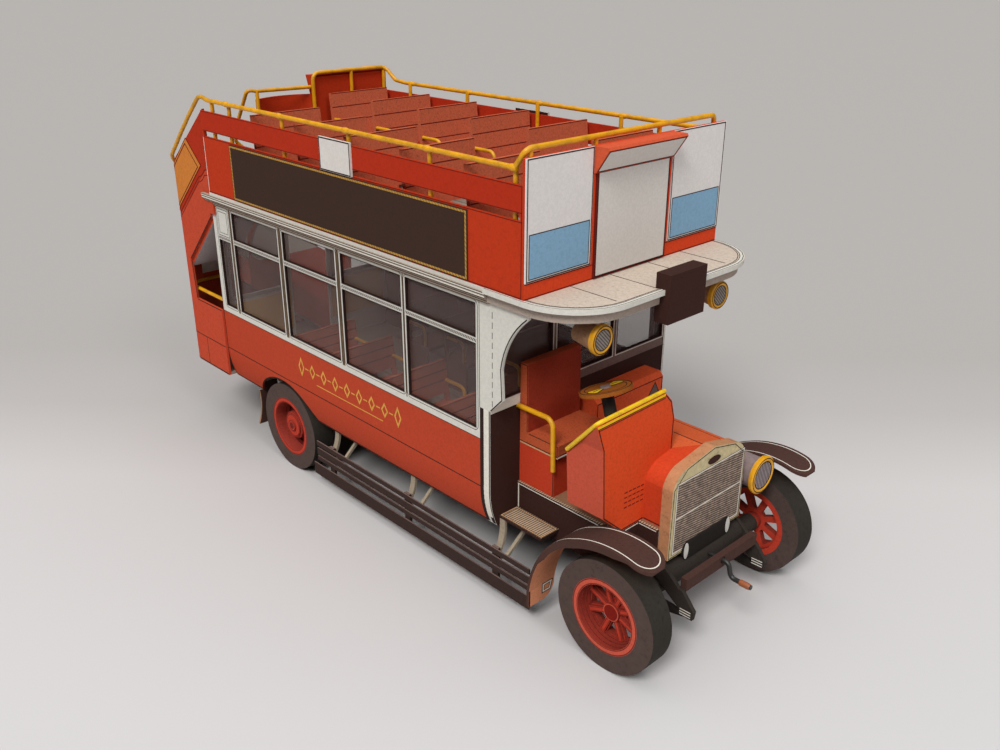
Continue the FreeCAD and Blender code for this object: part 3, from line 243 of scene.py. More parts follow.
# Paints: slot and colour
PAINTS = {
    "yellow": ("yellow_wire", (218, 154, 10)),
    "yellow_bright": ("yellow_wire", (232, 188, 20)),
    "black_metal": ("black_wire", (36, 34, 33)),
    "grip": ("black_wire", (150, 84, 48)),
}
# Hatchings: slot, the two inks, pitch, direction across the lines, share of the first ink, speck
HATCHINGS = {
    "rope": ("cream_card", (206, 199, 190), (70, 52, 46), 0.9, (1.0, 0.0, 1.0)),
    "post_hatch": ("brown_card", (138, 112, 82), (84, 62, 46), 0.8, (0.35, 0.0, 1.0), 0.5, 0.25),
    "gold_hatch": ("yellow_wire", (206, 156, 66), (128, 86, 42), 0.8, (1.0, 1.0, 1.0), 0.7),
    "grille": ("grey_card", (106, 82, 72), (210, 188, 168), 0.8, (0.0, 0.12, 1.0), 0.52, 0.3),
    "lens": ("black_card", (84, 70, 70), (202, 186, 188), 0.9, (0.0, 1.0, 0.0), 0.6),
    "lens_pale": ("grey_card", (158, 148, 142), (96, 84, 78), 0.8, (0.0, 1.0, 1.0)),
    "tread_hatch": ("grey_card", (214, 186, 156), (96, 72, 58), 0.95, (1.0, 0.0, 0.0), 0.55),
}
materials = {}
for slot, inks in INKS.items():
    for name, ink in inks.items():
        materials[name] = card(name, slot, ink[:3], *ink[3:])
for name, (slot, colour) in PAINTS.items():
    materials[name] = paint_metal(name, slot, colour)
for name, hatching in HATCHINGS.items():
    materials[name] = hatched(name, *hatching)
materials["film"] = film("film", "window_film")
# the stair panel is printed darker above a line that rises towards its rear
STAIR_SLOPE, STAIR_LINE_X, STAIR_LINE_Z = 0.833, -45.0, 116.5
materials["stair_reds"] = two_tone(
    "stair_reds", "red_card", (190, 72, 46), (172, 46, 20), (-STAIR_SLOPE, 0.0, 1.0),
    STAIR_LINE_Z - STAIR_SLOPE * (STAIR_LINE_X + REAR_AXLE))


# ---------- flat outlines
def rect(u0, v0, u1, v1):
    return [(u0, v0), (u1, v0), (u1, v1), (u0, v1)]


def rounded(u0, v0, u1, v1, radius, steps=5):
    corners = [(u1 - radius, v0 + radius, -90), (u1 - radius, v1 - radius, 0),
               (u0 + radius, v1 - radius, 90), (u0 + radius, v0 + radius, 180)]
    points = []
    for cu, cv, start in corners:
        for i in range(steps + 1):
            turn = radians(start + 90.0 * i / steps)
            points.append((cu + radius * cos(turn), cv + radius * sin(turn)))
    return points


def circle(u, v, radius, steps=40):
    turns = [2.0 * pi * i / steps for i in range(steps)]
    return [(u + radius * cos(t), v + radius * sin(t)) for t in turns]


def spread(low, high, count):
    return [low + (high - low) * i / (count - 1) for i in range(count)]


def mirrored(sign, near, far):
    """Both ends of a stretch of y on one side, lower end first."""
    return sorted((sign * near, sign * far))


def sampled(start, end, count):
    return list(zip(spread(start[0], end[0], count), spread(start[1], end[1], count)))


def as_points(places):
    return [(place.real, place.imag) for place in places]


def arc(start, end, radius, steps=8):
    """Points after start along the short arc; a positive radius bulges right."""
    start, end = complex(*start), complex(*end)
    chord = abs(end - start)
    rise = sqrt(radius * radius - chord * chord / 4.0) * (1.0 if radius > 0 else -1.0)
    centre = (start + end) / 2.0 + rise * 1j * (end - start) / chord
    sweep = phase((end - centre) / (start - centre))
    return as_points(centre + (start - centre) * exp(1j * sweep * i / steps) for i in range(1, steps + 1))


def path(*corners):
    """Corners (u, v) or (u, v, radius of the arc to the next) as plain points."""
    points = []
    for i, corner in enumerate(corners):
        if not points:
            points.append((corner[0], corner[1]))
        if len(corner) > 2:
            following = corners[(i + 1) % len(corners)]
            points += arc(corner[:2], following[:2], corner[2])
        elif i + 1 < len(corners):
            points.append((corners[i + 1][0], corners[i + 1][1]))
    return points


def anticlockwise(points):
    pairs = zip(points, points[1:] + points[:1])
    area = sum(u0 * v1 - u1 * v0 for (u0, v0), (u1, v1) in pairs)
    return points[::-1] if area < 0 else points


def offset(points, distance, closed):
    """A line moved to its right, which is outwards for an anticlockwise outline."""
    places = [complex(u, v) for u, v in points]
    steps = [end - start for start, end in zip(places, places[1:] + places[:1])]
    normals = [-1j * step / (abs(step) or 1.0) for step in steps]
    if not closed:
        normals[-1] = normals[-2]
    moved = []
    for i, place in enumerate(places):
        before, after = normals[i - 1 if closed or i else 0], normals[i]
        weight = max(1.0 + (before * after.conjugate()).real, 0.35)
        moved.append(place + distance * (before + after) / weight)
    return as_points(moved)


# ---------- surfaces to print on
# Each is a function of u, v and the height above the surface.
def side(sign, y):
    return lambda u, v, h: at(u, sign * (y + h), v)


def front(x):
    return lambda u, v, h: at(x + h, u, v)


def back(x):
    return lambda u, v, h: at(x - h, u, v)


def top(z):
    return lambda u, v, h: at(u, v, z + h)


def rocker(sign):
    """The saloon side, upright above the belt and curving inwards below it."""
    def face(u, v, h):
        if v >= BELT_Z:
            return at(u, sign * (BODY_HALF + h), v)
        drop = BELT_Z - v
        reach = sqrt(ROCKER_R ** 2 - drop ** 2)
        swell = (ROCKER_R + h) / ROCKER_R
        return at(u, sign * (BODY_HALF - ROCKER_R + reach * swell), BELT_Z - drop * swell)
    return face


def slope(start, end, across):
    """Plane through two points, u along across (a unit vector) and v from start to end."""
    start, end, across = Vector(start), Vector(end), Vector(across)
    up = (end - start).normalized()
    out = across.cross(up).normalized()
    return lambda u, v, h: at(*(start + across * u + up * v + out * h))


def along(profile):
    """Surface that follows a profile in x and z, u being y and v the distance along it."""
    marks = [0.0]
    for (x0, z0), (x1, z1) in zip(profile, profile[1:]):
        marks.append(marks[-1] + hypot(x1 - x0, z1 - z0))

    def face(u, v, h):
        i = 0
        while i < len(marks) - 2 and marks[i + 1] < v:
            i += 1
        (x0, z0), (x1, z1) = profile[i], profile[i + 1]
        span = marks[i + 1] - marks[i] or 1.0
        share = (v - marks[i]) / span
        aside = h / span
        return at(x0 + (x1 - x0) * share - (z1 - z0) * aside, u, z0 + (z1 - z0) * share + (x1 - x0) * aside)
    return face, marks[-1]


# ---------- mesh builder
LOW = -0.03         # print starts just inside the card,
INK = 0.04          # stands this far above it
OVER = 0.07         # or this far where it lies over other print


class Shape:
    """Points and faces of one piece."""

    def __init__(self):
        self.points = []
        self.faces = []

    def prism(self, face, outline, holes=(), low=LOW, high=INK):
        loops = [list(outline)] + [list(hole) for hole in holes]
        flat = [point for loop in loops for point in loop]
        triangles = tessellate_polygon([[Vector((u, v, 0.0)) for u, v in loop] for loop in loops])
        base, count = len(self.points), len(flat)
        self.points += [face(u, v, low) for u, v in flat]
        self.points += [face(u, v, high) for u, v in flat]
        for a, b, c in triangles:
            self.faces.append((base + a, base + b, base + c))
            self.faces.append((base + count + c, base + count + b, base + count + a))
        start = base
        for loop in loops:
            size = len(loop)
            for i in range(size):
                a, b = start + i, start + (i + 1) % size
                self.faces.append((a, b, count + b, count + a))
            start += size

    def strip(self, face, left, right, closed, low=LOW, high=INK):
        """A thin closed band between two lines of the same number of points."""
        base, count = len(self.points), len(left)
        for line, level in ((left, low), (right, low), (right, high), (left, high)):
            self.points += [face(u, v, level) for u, v in line]
        for i in range(count if closed else count - 1):
            j = (i + 1) % count
            for k in range(4):
                a, b = base + k * count, base + (k + 1) % 4 * count
                self.faces.append((a + i, a + j, b + j, b + i))
        if not closed:
            for i in (0, count - 1):
                self.faces.append(tuple(base + k * count + i for k in range(4)))

    def ring(self, face, outline, inner, outer, low=LOW, high=INK):
        """A band along a closed outline; inner and outer are distances outside it."""
        outline = anticlockwise(outline)
        self.strip(face, offset(outline, inner, True), offset(outline, outer, True), True, low, high)

    def line(self, face, points, width, high=INK):
        left, right = offset(points, -width / 2.0, False), offset(points, width / 2.0, False)
        self.strip(face, left, right, False, high=high)

    def trace(self, face, start, end, count, width, high=INK):
        """A line with enough points along it to follow a curved surface."""
        self.line(face, sampled(start, end, count), width, high)

    def level(self, face, u0, u1, v, width, high=INK):
        self.line(face, [(u0, v), (u1, v)], width, high)

    def upright(self, face, u, v0, v1, width, high=INK):
        self.line(face, [(u, v0), (u, v1)], width, high)

    def quilt(self, face, grid, high):
        """A thin closed sheet over rows of points, for curved surfaces."""
        base, layer = len(self.points), len(grid) * len(grid[0])
        for level in (LOW, high):
            self.points += [face(u, v, level) for row in grid for u, v in row]
        marks = iter(range(base, base + layer))
        rows = [[next(marks) for _ in row] for row in grid]
        for row, after in zip(rows, rows[1:]):
            for a, b, c, d in zip(row, row[1:], after[1:], after):
                self.faces.append((a, b, c, d))
                self.faces.append((d + layer, c + layer, b + layer, a + layer))
        rim = rows[0] + [row[-1] for row in rows[1:]] + rows[-1][-2::-1] + [row[0] for row in rows[-2:0:-1]]
        for a, b in zip(rim, rim[1:] + rim[:1]):
            self.faces.append((a, b, b + layer, a + layer))

    def lathe(self, origin, axis, profile, steps, closed=False):
        """Turned shape: profile of (distance along the axis, radius)."""
        origin, axis = Vector(origin), Vector(axis).normalized()
        across = axis.orthogonal().normalized()
        third = axis.cross(across)
        rings = []
        for distance, radius in profile:
            start = len(self.points)
            count = steps if radius > 1e-6 else 1
            for i in range(count):
                turn = 2.0 * pi * i / steps
                spoke = across * cos(turn) + third * sin(turn)
                self.points.append(at(*(origin + axis * distance + spoke * radius)))
            rings.append((start, count))
        pairs = list(zip(rings, rings[1:]))
        if closed:
            pairs.append((rings[-1], rings[0]))
        for (a, many_a), (b, many_b) in pairs:
            for i in range(steps):
                j = (i + 1) % steps
                corners = [a + i % many_a, a + j % many_a, b + j % many_b, b + i % many_b]
                self.faces.append(tuple(dict.fromkeys(corners)))
        return self

    def make(self, name, finish, body="bus", smooth=False):
        mesh = bpy.data.meshes.new(name)
        mesh.from_pydata(self.points, [], self.faces)
        work = bmesh.new()
        work.from_mesh(mesh)
        bmesh.ops.recalc_face_normals(work, faces=work.faces)
        work.to_mesh(mesh)
        work.free()
        if smooth:
            mesh.polygons.foreach_set("use_smooth", [True] * len(mesh.polygons))
            mesh.set_sharp_from_angle(angle=radians(35.0))
        piece = bpy.data.objects.new(name, mesh)
        scene.collection.objects.link(piece)
        mesh.materials.append(materials[finish])
        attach(piece, body)
        return piece


PRINTS = {}


def print_on(name, finish):
    """One printed piece per name; shapes added under the same name share it."""
    if name not in PRINTS:
        PRINTS[name] = (Shape(), finish)
    return PRINTS[name][0]


def paint(node_name, finish, *rules):
    """Finish for a CAD node, with other finishes where a rule holds.

    A rule gets the face centre in millimetres and the face normal."""
    mesh = nodes[node_name].data
    mesh.materials.clear()
    for used in [finish] + [other for other, _ in rules]:
        mesh.materials.append(materials[used])
    for polygon in mesh.polygons:
        centre = polygon.center / MM
        centre.x -= REAR_AXLE
        hits = [i for i, (_, test) in enumerate(rules, start=1) if test(centre, polygon.normal)]
        polygon.material_index = hits[0] if hits else 0


# ---------- finishes of the CAD nodes
def outside(c, n):
    return abs(c.y) > 39.5 and n.y * c.y > 0.2


def upward(c, n):
    return n.z > 0.7


def downward(c, n):
    return n.z < -0.7


def forward(c, n):
    return n.x > 0.5


def rearward(c, n):
    return n.x < -0.5


def sideways(c, n):
    return abs(n.y) > 0.5


# name, x of the axle, side
WHEELS = [("front_offside", 170.5, -1.0), ("front_nearside", 170.5, 1.0),
          ("rear_offside", 0.0, -1.0), ("rear_nearside", 0.0, 1.0)]
# nodes that have one finish all over
ONE_FINISH = {
    "yellow": "seat_handles offside_handrail nearside_handrail front_handrail stair_rails",
    "black_soft": "chassis_frame front_axle rear_axle",
    "black": "number_plate leaf_springs",
    "black_metal": "starting_handle",
    "brown": "front_beam",
    "brown_deep": "route_box",
    "bracket": "guard_brackets",
    "cab_boards": "cab_floor",
    "cornice_grey": "cornices",
    "cream": "rear_bulkhead",
    "film": "window_film",
    "frame_white": "canopy_bracket",
    "locker": "nearside_locker",
    "red_upper": "upper_rear_panel",
    "seat_plank": "upper_deck_seats",
}
for finish, names in ONE_FINISH.items():
    for name in names.split():
        paint(name, finish)
# the others; a number in a rule is the place in mm where one finish gives way to the next
# downward faces of these floors take a near-black ink to deepen the dark under the bus: painted shade
for name in ("saloon_floor", "rear_wheel_boxes", "platform_floor"):
    paint(name, "floor_print", ("black_soft", downward))
for name, _ in SIDES:
    paint(name + "_saloon_side", "red_inner", ("ink", lambda c, n: abs(n.y) < 0.3 and c.z > 60.5),
          ("red_side", outside))
    paint(name + "_upper_panel", "red_upper", ("red_band", lambda c, n: c.z > 133.0 and sideways(c, n)))
paint("front_bulkhead", "brown_deep", ("frame_white", outside), ("mauve", lambda c, n: c.z > 104.0))
paint("upper_deck_floor", "soffit", ("floor_print", upward), ("frame_white", lambda c, n: abs(n.z) < 0.5))
paint("canopy", "skirt_grey", ("bone", upward), ("frame_white", lambda c, n: c.z > 107.5 and abs(n.z) < 0.5),
      ("soffit", downward))
paint("upper_front_panel", "red_front", ("red_inner", rearward), ("red_upper", sideways))
paint("advert_boards", "board_brown", ("board_white", lambda c, n: c.x > 130.0))
paint("route_boards", "white", ("brown_deep", lambda c, n: n.y * c.y < -0.5))
paint("destination_box", "dark_red", ("orange", lambda c, n: c.z > 140.0))
paint("rear_stair_panel", "stair_reds", ("red_inner", lambda c, n: c.y > -43.4 and n.y > 0.5 and c.z < 110.0))
paint("staircase", "soffit", ("floor_print", upward), ("red_stair", lambda c, n: abs(n.z) < 0.2))
# nearside saloon seats take a darker copy of the seat ink: painted shade on the far side of the saloon
paint("saloon_seats", "seat_plank", ("seat_painted_shade", lambda c, n: c.y > 0.0))
paint("cab_rails", "yellow", ("yellow_bright", lambda c, n: c.x > 149.0))
paint("cab_valances", "brown_deep", ("tread_hatch", upward))
# the front of the driver's seat back takes a darker copy of the seat ink: painted shade
paint("driver_seat", "cushion", ("seat_box", lambda c, n: forward(c, n) and c.z < 53.9 and c.x < 138.0),
      ("seat_back_painted_shade", lambda c, n: forward(c, n) and c.z > 58.3))
paint("cab_dash", "dash", ("wing", lambda c, n: n.y < -0.5),
      ("red_inner", lambda c, n: rearward(c, n) or n.y > 0.5))
paint("bonnet", "bonnet_side", ("hood", lambda c, n: c.y < -6.0), ("bonnet_top", lambda c, n: n.z > 0.5))
paint("radiator", "radiator_shell", ("radiator_front", forward))
paint("steering_wheel_and_column", "black_soft", ("amber", lambda c, n: c.z > 72.5))
paint("headlamp", "lamp_grey", ("yellow", lambda c, n: c.x > 176.9))
paint("canopy_lamps", "tan", ("yellow", lambda c, n: c.x > 151.5))
paint("front_mudguards", "brown",
      ("flap", lambda c, n: n.z < -0.15 and n.x < 0.5 or n.x > 0.3 and c.x < 160.0))
# top faces of the slats take a paler ink: the pale cut edge of the card, and a painted highlight
paint("side_guards", "slat_brown", ("mauve", upward))
paint("rear_mudflaps", "tan", ("brown", lambda c, n: abs(n.x) > 0.5))
for name, _, _ in WHEELS:
    paint(name + "_tyre", "tyre_tread", ("tyre_wall", sideways))
    if name.startswith("front"):
        paint(name + "_wheel", "wheel_face", ("wheel_inner", lambda c, n: abs(n.y) < 0.5),
              ("wheel_spoke", lambda c, n: abs(c.y) < 38.6))
    else:
        # the recessed dish takes a darker ink: painted shade in the recess under the arch
        paint(name + "_wheel", "wheel_rear", ("wheel_spoke", lambda c, n: abs(c.y) > 39.0 and sideways(c, n)),
              ("wheel_dish_painted_shade", lambda c, n: abs(c.y) < 38.0))

# ---------- saloon sides
BAYS = [(-41.0, -32.5), (-29.0, 4.3), (8.3, 41.9), (45.8, 79.2), (82.0, 115.5)]
SILL_Z, LIGHT_Z, VENT_Z, HEAD_Z = 61.0, 89.2, 91.5, 102.2
FRAME_LOW_Z, FRAME_TOP_Z = 57.6, 103.5
FRAME_REAR_X, FRAME_FRONT_X = -44.7, 121.9
STRIP_X, STRIP_TOP_Z = 117.3, 68.6
THIN = 0.24         # line round each pane
BEAD = 0.95         # cream bead between the two lines round a bay


def print_windows(name, sign):
    """Cream frame, lined panes, hatched posts and the rope between light and vent."""
    wall = side(sign, BODY_HALF)
    lights = [rect(x0, SILL_Z, x1, LIGHT_Z) for x0, x1 in BAYS]
    vents = [rect(x0, VENT_Z, x1, HEAD_Z) for x0, x1 in BAYS]
    print_on(name + "_window_frame", "frame_white").prism(wall, [
        (FRAME_REAR_X, FRAME_LOW_Z), (STRIP_X, FRAME_LOW_Z), (STRIP_X, STRIP_TOP_Z),
        (FRAME_FRONT_X, STRIP_TOP_Z), (FRAME_FRONT_X, FRAME_TOP_Z), (FRAME_REAR_X, FRAME_TOP_Z),
    ], lights + vents[1:])
    ink = print_on(name + "_window_lines", "ink")
    for opening in lights + vents:
        ink.ring(wall, opening, 0.0, THIN, high=OVER)
    ink.ring(wall, vents[0], -1.1, -0.9, high=OVER)
    for x0, x1 in BAYS:
        ink.ring(wall, rounded(x0, SILL_Z, x1, HEAD_Z, 0.8), BEAD, BEAD + 0.2, high=OVER)
    ink.upright(wall, FRAME_REAR_X - 0.1, FRAME_LOW_Z, FRAME_TOP_Z, 0.25, OVER)
    ink.level(wall, FRAME_REAR_X, STRIP_X, FRAME_LOW_Z, 0.2, OVER)
    ink.upright(wall, STRIP_X, STRIP_TOP_Z, FRAME_TOP_Z, 0.2, OVER)
    posts = print_on(name + "_window_posts", "post_hatch")
    for (_, x0), (x1, _) in zip(BAYS, BAYS[1:]):
        posts.prism(wall, rect(x0 + BEAD + 0.2, SILL_Z - 1.4, x1 - BEAD - 0.2, HEAD_Z + 1.0), high=OVER)
    rope = print_on(name + "_window_rope", "rope")
    for x0, x1 in BAYS:
        rope.prism(wall, rect(x0 - 0.5, LIGHT_Z + 0.65, x1 + 0.5, VENT_Z - 0.65), high=OVER)


SKIRT_Z, SKIRT_REAR_X, SKIRT_FRONT_X = 27.0, -44.85, 118.0
ARCH_REAR_X, ARCH_FRONT_X = -23.2, 18.9


def print_skirt(name, sign):
    """Lines of the belt, the skirt and the wheel arch, with the cream strip up the front corner."""
    skin = rocker(sign)
    ink = print_on(name + "_window_lines", "ink")
    ink.level(skin, SKIRT_REAR_X - 0.05, SKIRT_FRONT_X, BELT_Z, 0.34)
    ink.trace(skin, (SKIRT_REAR_X, SKIRT_Z), (SKIRT_REAR_X, FRAME_LOW_Z), 14, 0.35)
    ink.level(skin, SKIRT_REAR_X + 0.05, ARCH_REAR_X, SKIRT_Z, 0.7)
    ink.level(skin, ARCH_FRONT_X, SKIRT_FRONT_X, SKIRT_Z, 0.7)
    arch = path((ARCH_REAR_X, SKIRT_Z, -25.0), (-3.0, 38.6, -23.0), (ARCH_FRONT_X, SKIRT_Z),
                (ARCH_FRONT_X, 26.6))[:-1]
    ink.line(skin, arch, 0.5)
    strip_foot, strip_end = 26.9, 29.5
    ink.trace(skin, (118.2, strip_foot), (118.2, STRIP_TOP_Z), 24, 1.7)
    print_on(name + "_corner_strip", "cream").trace(skin, (120.2, strip_end), (120.2, STRIP_TOP_Z), 24, 2.4)
    ink.trace(skin, (121.6, strip_foot), (121.6, STRIP_TOP_Z), 24, 0.4)
    ink.trace(skin, (121.0, strip_foot), (121.0, strip_end - 0.1), 4, 1.6)


def print_waist(name, sign):
    """A gilt ornament of plain diamonds along the waist, over a rule."""
    wall = side(sign, BODY_HALF)
    gilt = print_on(name + "_waist_ornament", "gold")
    gilt.level(wall, 24.0, 66.0, 45.0, 0.35)
    middle_z, first_x, pitch, count, half_wide = 49.6, 14.0, 7.6, 9, 2.2
    for i in range(count):
        x = first_x + pitch * i
        last = i == count - 1
        tall = 4.6 if i == 0 or last else 3.4
        diamond = [(x - half_wide, middle_z), (x, middle_z - tall),
                   (x + half_wide, middle_z), (x, middle_z + tall)]
        gilt.ring(wall, diamond, -0.85, -0.2)
        if not last:
            gilt.level(wall, x + 2.7, x + 4.9, middle_z, 0.5)


def print_cornice(name, sign):
    """Lines and beads along the cornice's cove and flare; u is x, turned with the side."""
    flare = slope((0, sign * 45.1, 105.6), (0, sign * 45.5, 107.8), (sign, 0, 0))
    cove = slope((0, sign * 43.8, 103.6), (0, sign * 44.1, 105.0), (sign, 0, 0))
    cove_rear, flare_rear, end = -41.5 * sign, -47.9 * sign, FRAME_FRONT_X * sign
    ink = print_on(name + "_window_lines", "ink")
    for v in (0.3, 1.0):
        ink.level(cove, cove_rear, end, v, 0.22)
    for v in (0.15, 1.2, 1.95):
        ink.level(flare, flare_rear, end, v, 0.22)
    bead = print_on(name + "_cornice_bead", "cream")
    bead.level(flare, flare_rear, end, 1.6, 0.45)
    bead.level(flare, flare_rear, end, 0.6, 0.5)


for name, sign in SIDES:
    print_windows(name, sign)
    print_skirt(name, sign)
    print_waist(name, sign)
    print_cornice(name, sign)

# ---------- bulkhead behind the driver
PANES = [(-40.8, -16.2), (-13.4, 13.4), (16.2, 40.8)]
PANE_LOW_Z, RAIL_LOW_Z, RAIL_TOP_Z = 71.4, 67.4, 104.0
wall = front(BULKHEAD_X)
panes = [rect(y0, PANE_LOW_Z, y1, HEAD_Z) for y0, y1 in PANES]
print_on("bulkhead_frame", "mauve").prism(wall, rect(-42.9, RAIL_LOW_Z, 42.9, RAIL_TOP_Z), panes)
ink = print_on("bulkhead_lines", "ink")
bead = print_on("bulkhead_beads", "cream")
for pane in panes:
    ink.ring(wall, pane, 0.0, 0.3, high=OVER)
    bead.ring(wall, pane, 0.5, 0.85, high=OVER)
bead.prism(wall, rect(-42.8, RAIL_LOW_Z + 0.1, -30.2, 70.6), high=OVER)
ink.level(wall, -42.8, 42.8, RAIL_LOW_Z, 0.25, OVER)
bead.upright(wall, 42.5, 42.0, RAIL_TOP_Z, 0.6, OVER)
ink.upright(wall, 41.9, 42.0, RAIL_TOP_Z, 0.25, OVER)

# ---------- upper deck panels
PANEL_REAR_X, PANEL_FRONT_X = -40.9, 136.9
BAND_LOW_Z, BAND_TOP_Z, PANEL_TOP_Z = 133.6, 140.8, 131.0
for name, sign in SIDES:
    wall = side(sign, DECK_HALF)
    ink = print_on(name + "_upper_lines", "dark_red")
    for z, width in ((BAND_LOW_Z, 0.22), (BAND_TOP_Z, 0.22), (PANEL_TOP_Z, 0.25), (DECK_Z + 0.4, 0.3)):
        ink.level(wall, PANEL_REAR_X, PANEL_FRONT_X, z, width)
    ink.upright(wall, PANEL_FRONT_X - 0.1, DECK_Z + 0.2, BAND_TOP_Z, 0.3)
    edge = print_on(name + "_upper_edge", "cream")
    edge.upright(wall, PANEL_REAR_X + 0.05, DECK_Z + 0.2, PANEL_TOP_Z, 0.3)
    gold = print_on(name + "_board_border", "gold_hatch")
    gold.ring(side(sign, DECK_HALF + 0.4), rect(-20.5, 109.5, 114.9, 130.6), -0.95, -0.3)
    plate_lines = print_on(name + "_route_lines", "ink")
    plate_lines.ring(side(sign, DECK_HALF + 0.8), rect(41.7, 131.0, 59.2, 142.0), -0.5, -0.1)

# ---------- front boards
FRONT_PANEL_X = 138.0
boards = front(FRONT_PANEL_X + 0.4)
ink = print_on("front_board_lines", "ink")
blue = print_on("front_board_panels", "board_blue")
for sign in (-1.0, 1.0):
    y0, y1 = mirrored(sign, 18.2, 44.7)
    ink.ring(boards, rect(y0, 114.0, y1, 148.3), -0.45, -0.1)
    panel = rect(y0 + 1.2, 115.0, y1 - 1.2, 127.4)
    blue.prism(boards, panel)
    ink.ring(boards, panel, 0.0, 0.25, high=OVER)
box_face = front(FRONT_PANEL_X + 0.6)
box_front = rect(-16.1, 110.0, 16.1, 140.6)
hood = slope((138.8, 0, 140.7), (143.6, 0, 147.6), (0, 1, 0))
hood_front = rect(-17.3, 0.6, 17.3, 7.9)
white = print_on("destination_face", "white")
white.prism(box_face, box_front)
ink.ring(box_face, box_front, -0.1, 0.2, high=OVER)
white.prism(hood, hood_front)
print_on("destination_border", "dark_red").ring(hood, hood_front, -0.1, 0.35, high=OVER)
panel_face = front(FRONT_PANEL_X)
dark = print_on("front_panel_lines", "dark_red")
dark.level(panel_face, -44.8, 44.8, 109.3, 0.3)
dark.level(panel_face, -44.8, -16.9, 113.6, 0.25)
dark.level(panel_face, 16.9, 44.8, 113.6, 0.25)


# ---------- canopy
def canopy_outline(inset):
    w, nose, r = 46.0 - inset, 159.0 - inset, 21.0 - inset
    return path((122.1, -w), (nose - r, -w, r), (nose, -w + r), (nose, w - r, r), (nose - r, w), (122.1, w))


deck = top(DECK_Z)
print_on("canopy_rim", "frame_white").strip(deck, canopy_outline(1.5), canopy_outline(0.1), False)
ink = print_on("canopy_lines", "ink")
for inset in (0.45, 1.5, 2.1):
    ink.line(deck, canopy_outline(inset), 0.22, OVER)
# joints of the deck boards: y, then where each starts and ends
for y, start, end in ((-26.0, 122.2, 155.4), (-9.0, 138.6, 156.6), (9.0, 138.6, 156.6), (26.0, 122.2, 155.4)):
    ink.level(deck, start, end, y, 0.25, OVER)
bracket = side(-1.0, BODY_HALF)
curve = path((122.2, 68.9), (127.2, 74.1), (126.6, 84.0, -30.0), (137.4, 102.8), (139.8, 107.3))[:-1]
ink.line(bracket, curve, 0.4)
for i in range(10):
    z = 70.5 + 3.2 * i
    ink.upright(bracket, 123.0, z, z + 2.0, 0.22)

# ---------- seats and floorboards
UPPER_ROWS = [-38.0, -8.5, 21.0, 50.7, 80.2, 110.0]
SALOON_ROWS = [7.0, 32.0, 64.0, 94.0]
BACK_LEAN, BACK_THICK, CUSHION = 2.2, 1.5, 1.2
BACK_OPEN = 5.4     # gap between the cushion and the first slat of the back


def seat_lines(shape, x, y0, y1, base, seat_h, back_h):
    """Slat joints of one seat, on its cushion and both faces of its back."""
    seat = top(base + seat_h)
    for ahead in (7.1, 11.8):
        shape.upright(seat, x + ahead, y0 + 0.1, y1 - 0.1, 0.35)
    foot = base + seat_h - CUSHION
    rise = base + back_h - foot
    tilt = atan2(BACK_LEAN, rise)
    reach = rise / cos(tilt)
    rear = Vector((x + BACK_LEAN, 0.0, foot))
    thick = Vector((cos(tilt), 0.0, sin(tilt))) * BACK_THICK
    up = Vector((-sin(tilt), 0.0, cos(tilt)))
    near = slope(rear + thick, rear + thick + up, (0, 1, 0))
    far = slope(rear, rear + up, (0, -1, 0))
    for share in (1.0 / 3.0, 2.0 / 3.0):
        v = BACK_OPEN + (reach - BACK_OPEN) * share
        shape.level(near, y0 + 0.1, y1 - 0.1, v, 0.35)
        shape.level(far, -y0 - 0.1, -y1 + 0.1, v, 0.35)
    shape.level(near, y0 + 0.1, y1 - 0.1, reach - 0.25, 0.25)


for name, sign in SIDES:
    upper = print_on(name + "_upper_seat_joints", "dark_red")
    y0, y1 = mirrored(sign, 12.5, 42.0)
    for x in UPPER_ROWS if sign > 0 else UPPER_ROWS[1:]:
        seat_lines(upper, x, y0, y1, DECK_Z, 12.0, 33.5)
    lower = print_on(name + "_saloon_seat_joints", "dark_red")
    y0, y1 = mirrored(sign, 13.0, 41.4)
    for x in SALOON_ROWS:
        seat_lines(lower, x, y0, y1, SALOON_Z, 13.5, 29.0)

tan_panels = print_on("rear_bulkhead_panels", "tan_board")
for _, sign in SIDES:
    y0, y1 = mirrored(sign, 10.5, 40.0)
    tan_panels.prism(front(-44.0), rect(y0, 41.0, y1, 59.0))

# each floor: height, the ends of its boards, the outermost joint and how many joints
joints = print_on("floor_board_joints", "brown")
for z, x0, x1, reach, count in ((DECK_Z, -40.8, 121.8, 42.0, 15), (SALOON_Z, -44.0, 117.5, 9.0, 4),
                                (PLATFORM_Z, -68.0, -45.2, 34.0, 11)):
    for y in spread(-reach, reach, count):
        joints.level(top(z), x0, x1, y, 0.3)

# ---------- stair panel and rear
STAIR_SIDE_Y, STAIR_R, REAR_X = 44.0, 9.0, -79.0
TURN_X, TURN_Y = REAR_X + STAIR_R, STAIR_SIDE_Y - STAIR_R
TURN_LENGTH = STAIR_R * pi / 2.0


def stair_skin(u, v, h):
    """Outside of the stair panel: u is x along the side, then on round the corner."""
    if u >= TURN_X:
        return at(u, -(STAIR_SIDE_Y + h), v)
    run = TURN_X - u
    if run < TURN_LENGTH:
        turn = run / STAIR_R
        reach = STAIR_R + h
        return at(TURN_X - reach * sin(turn), -TURN_Y - reach * cos(turn), v)
    return at(REAR_X - h, -TURN_Y + run - TURN_LENGTH, v)


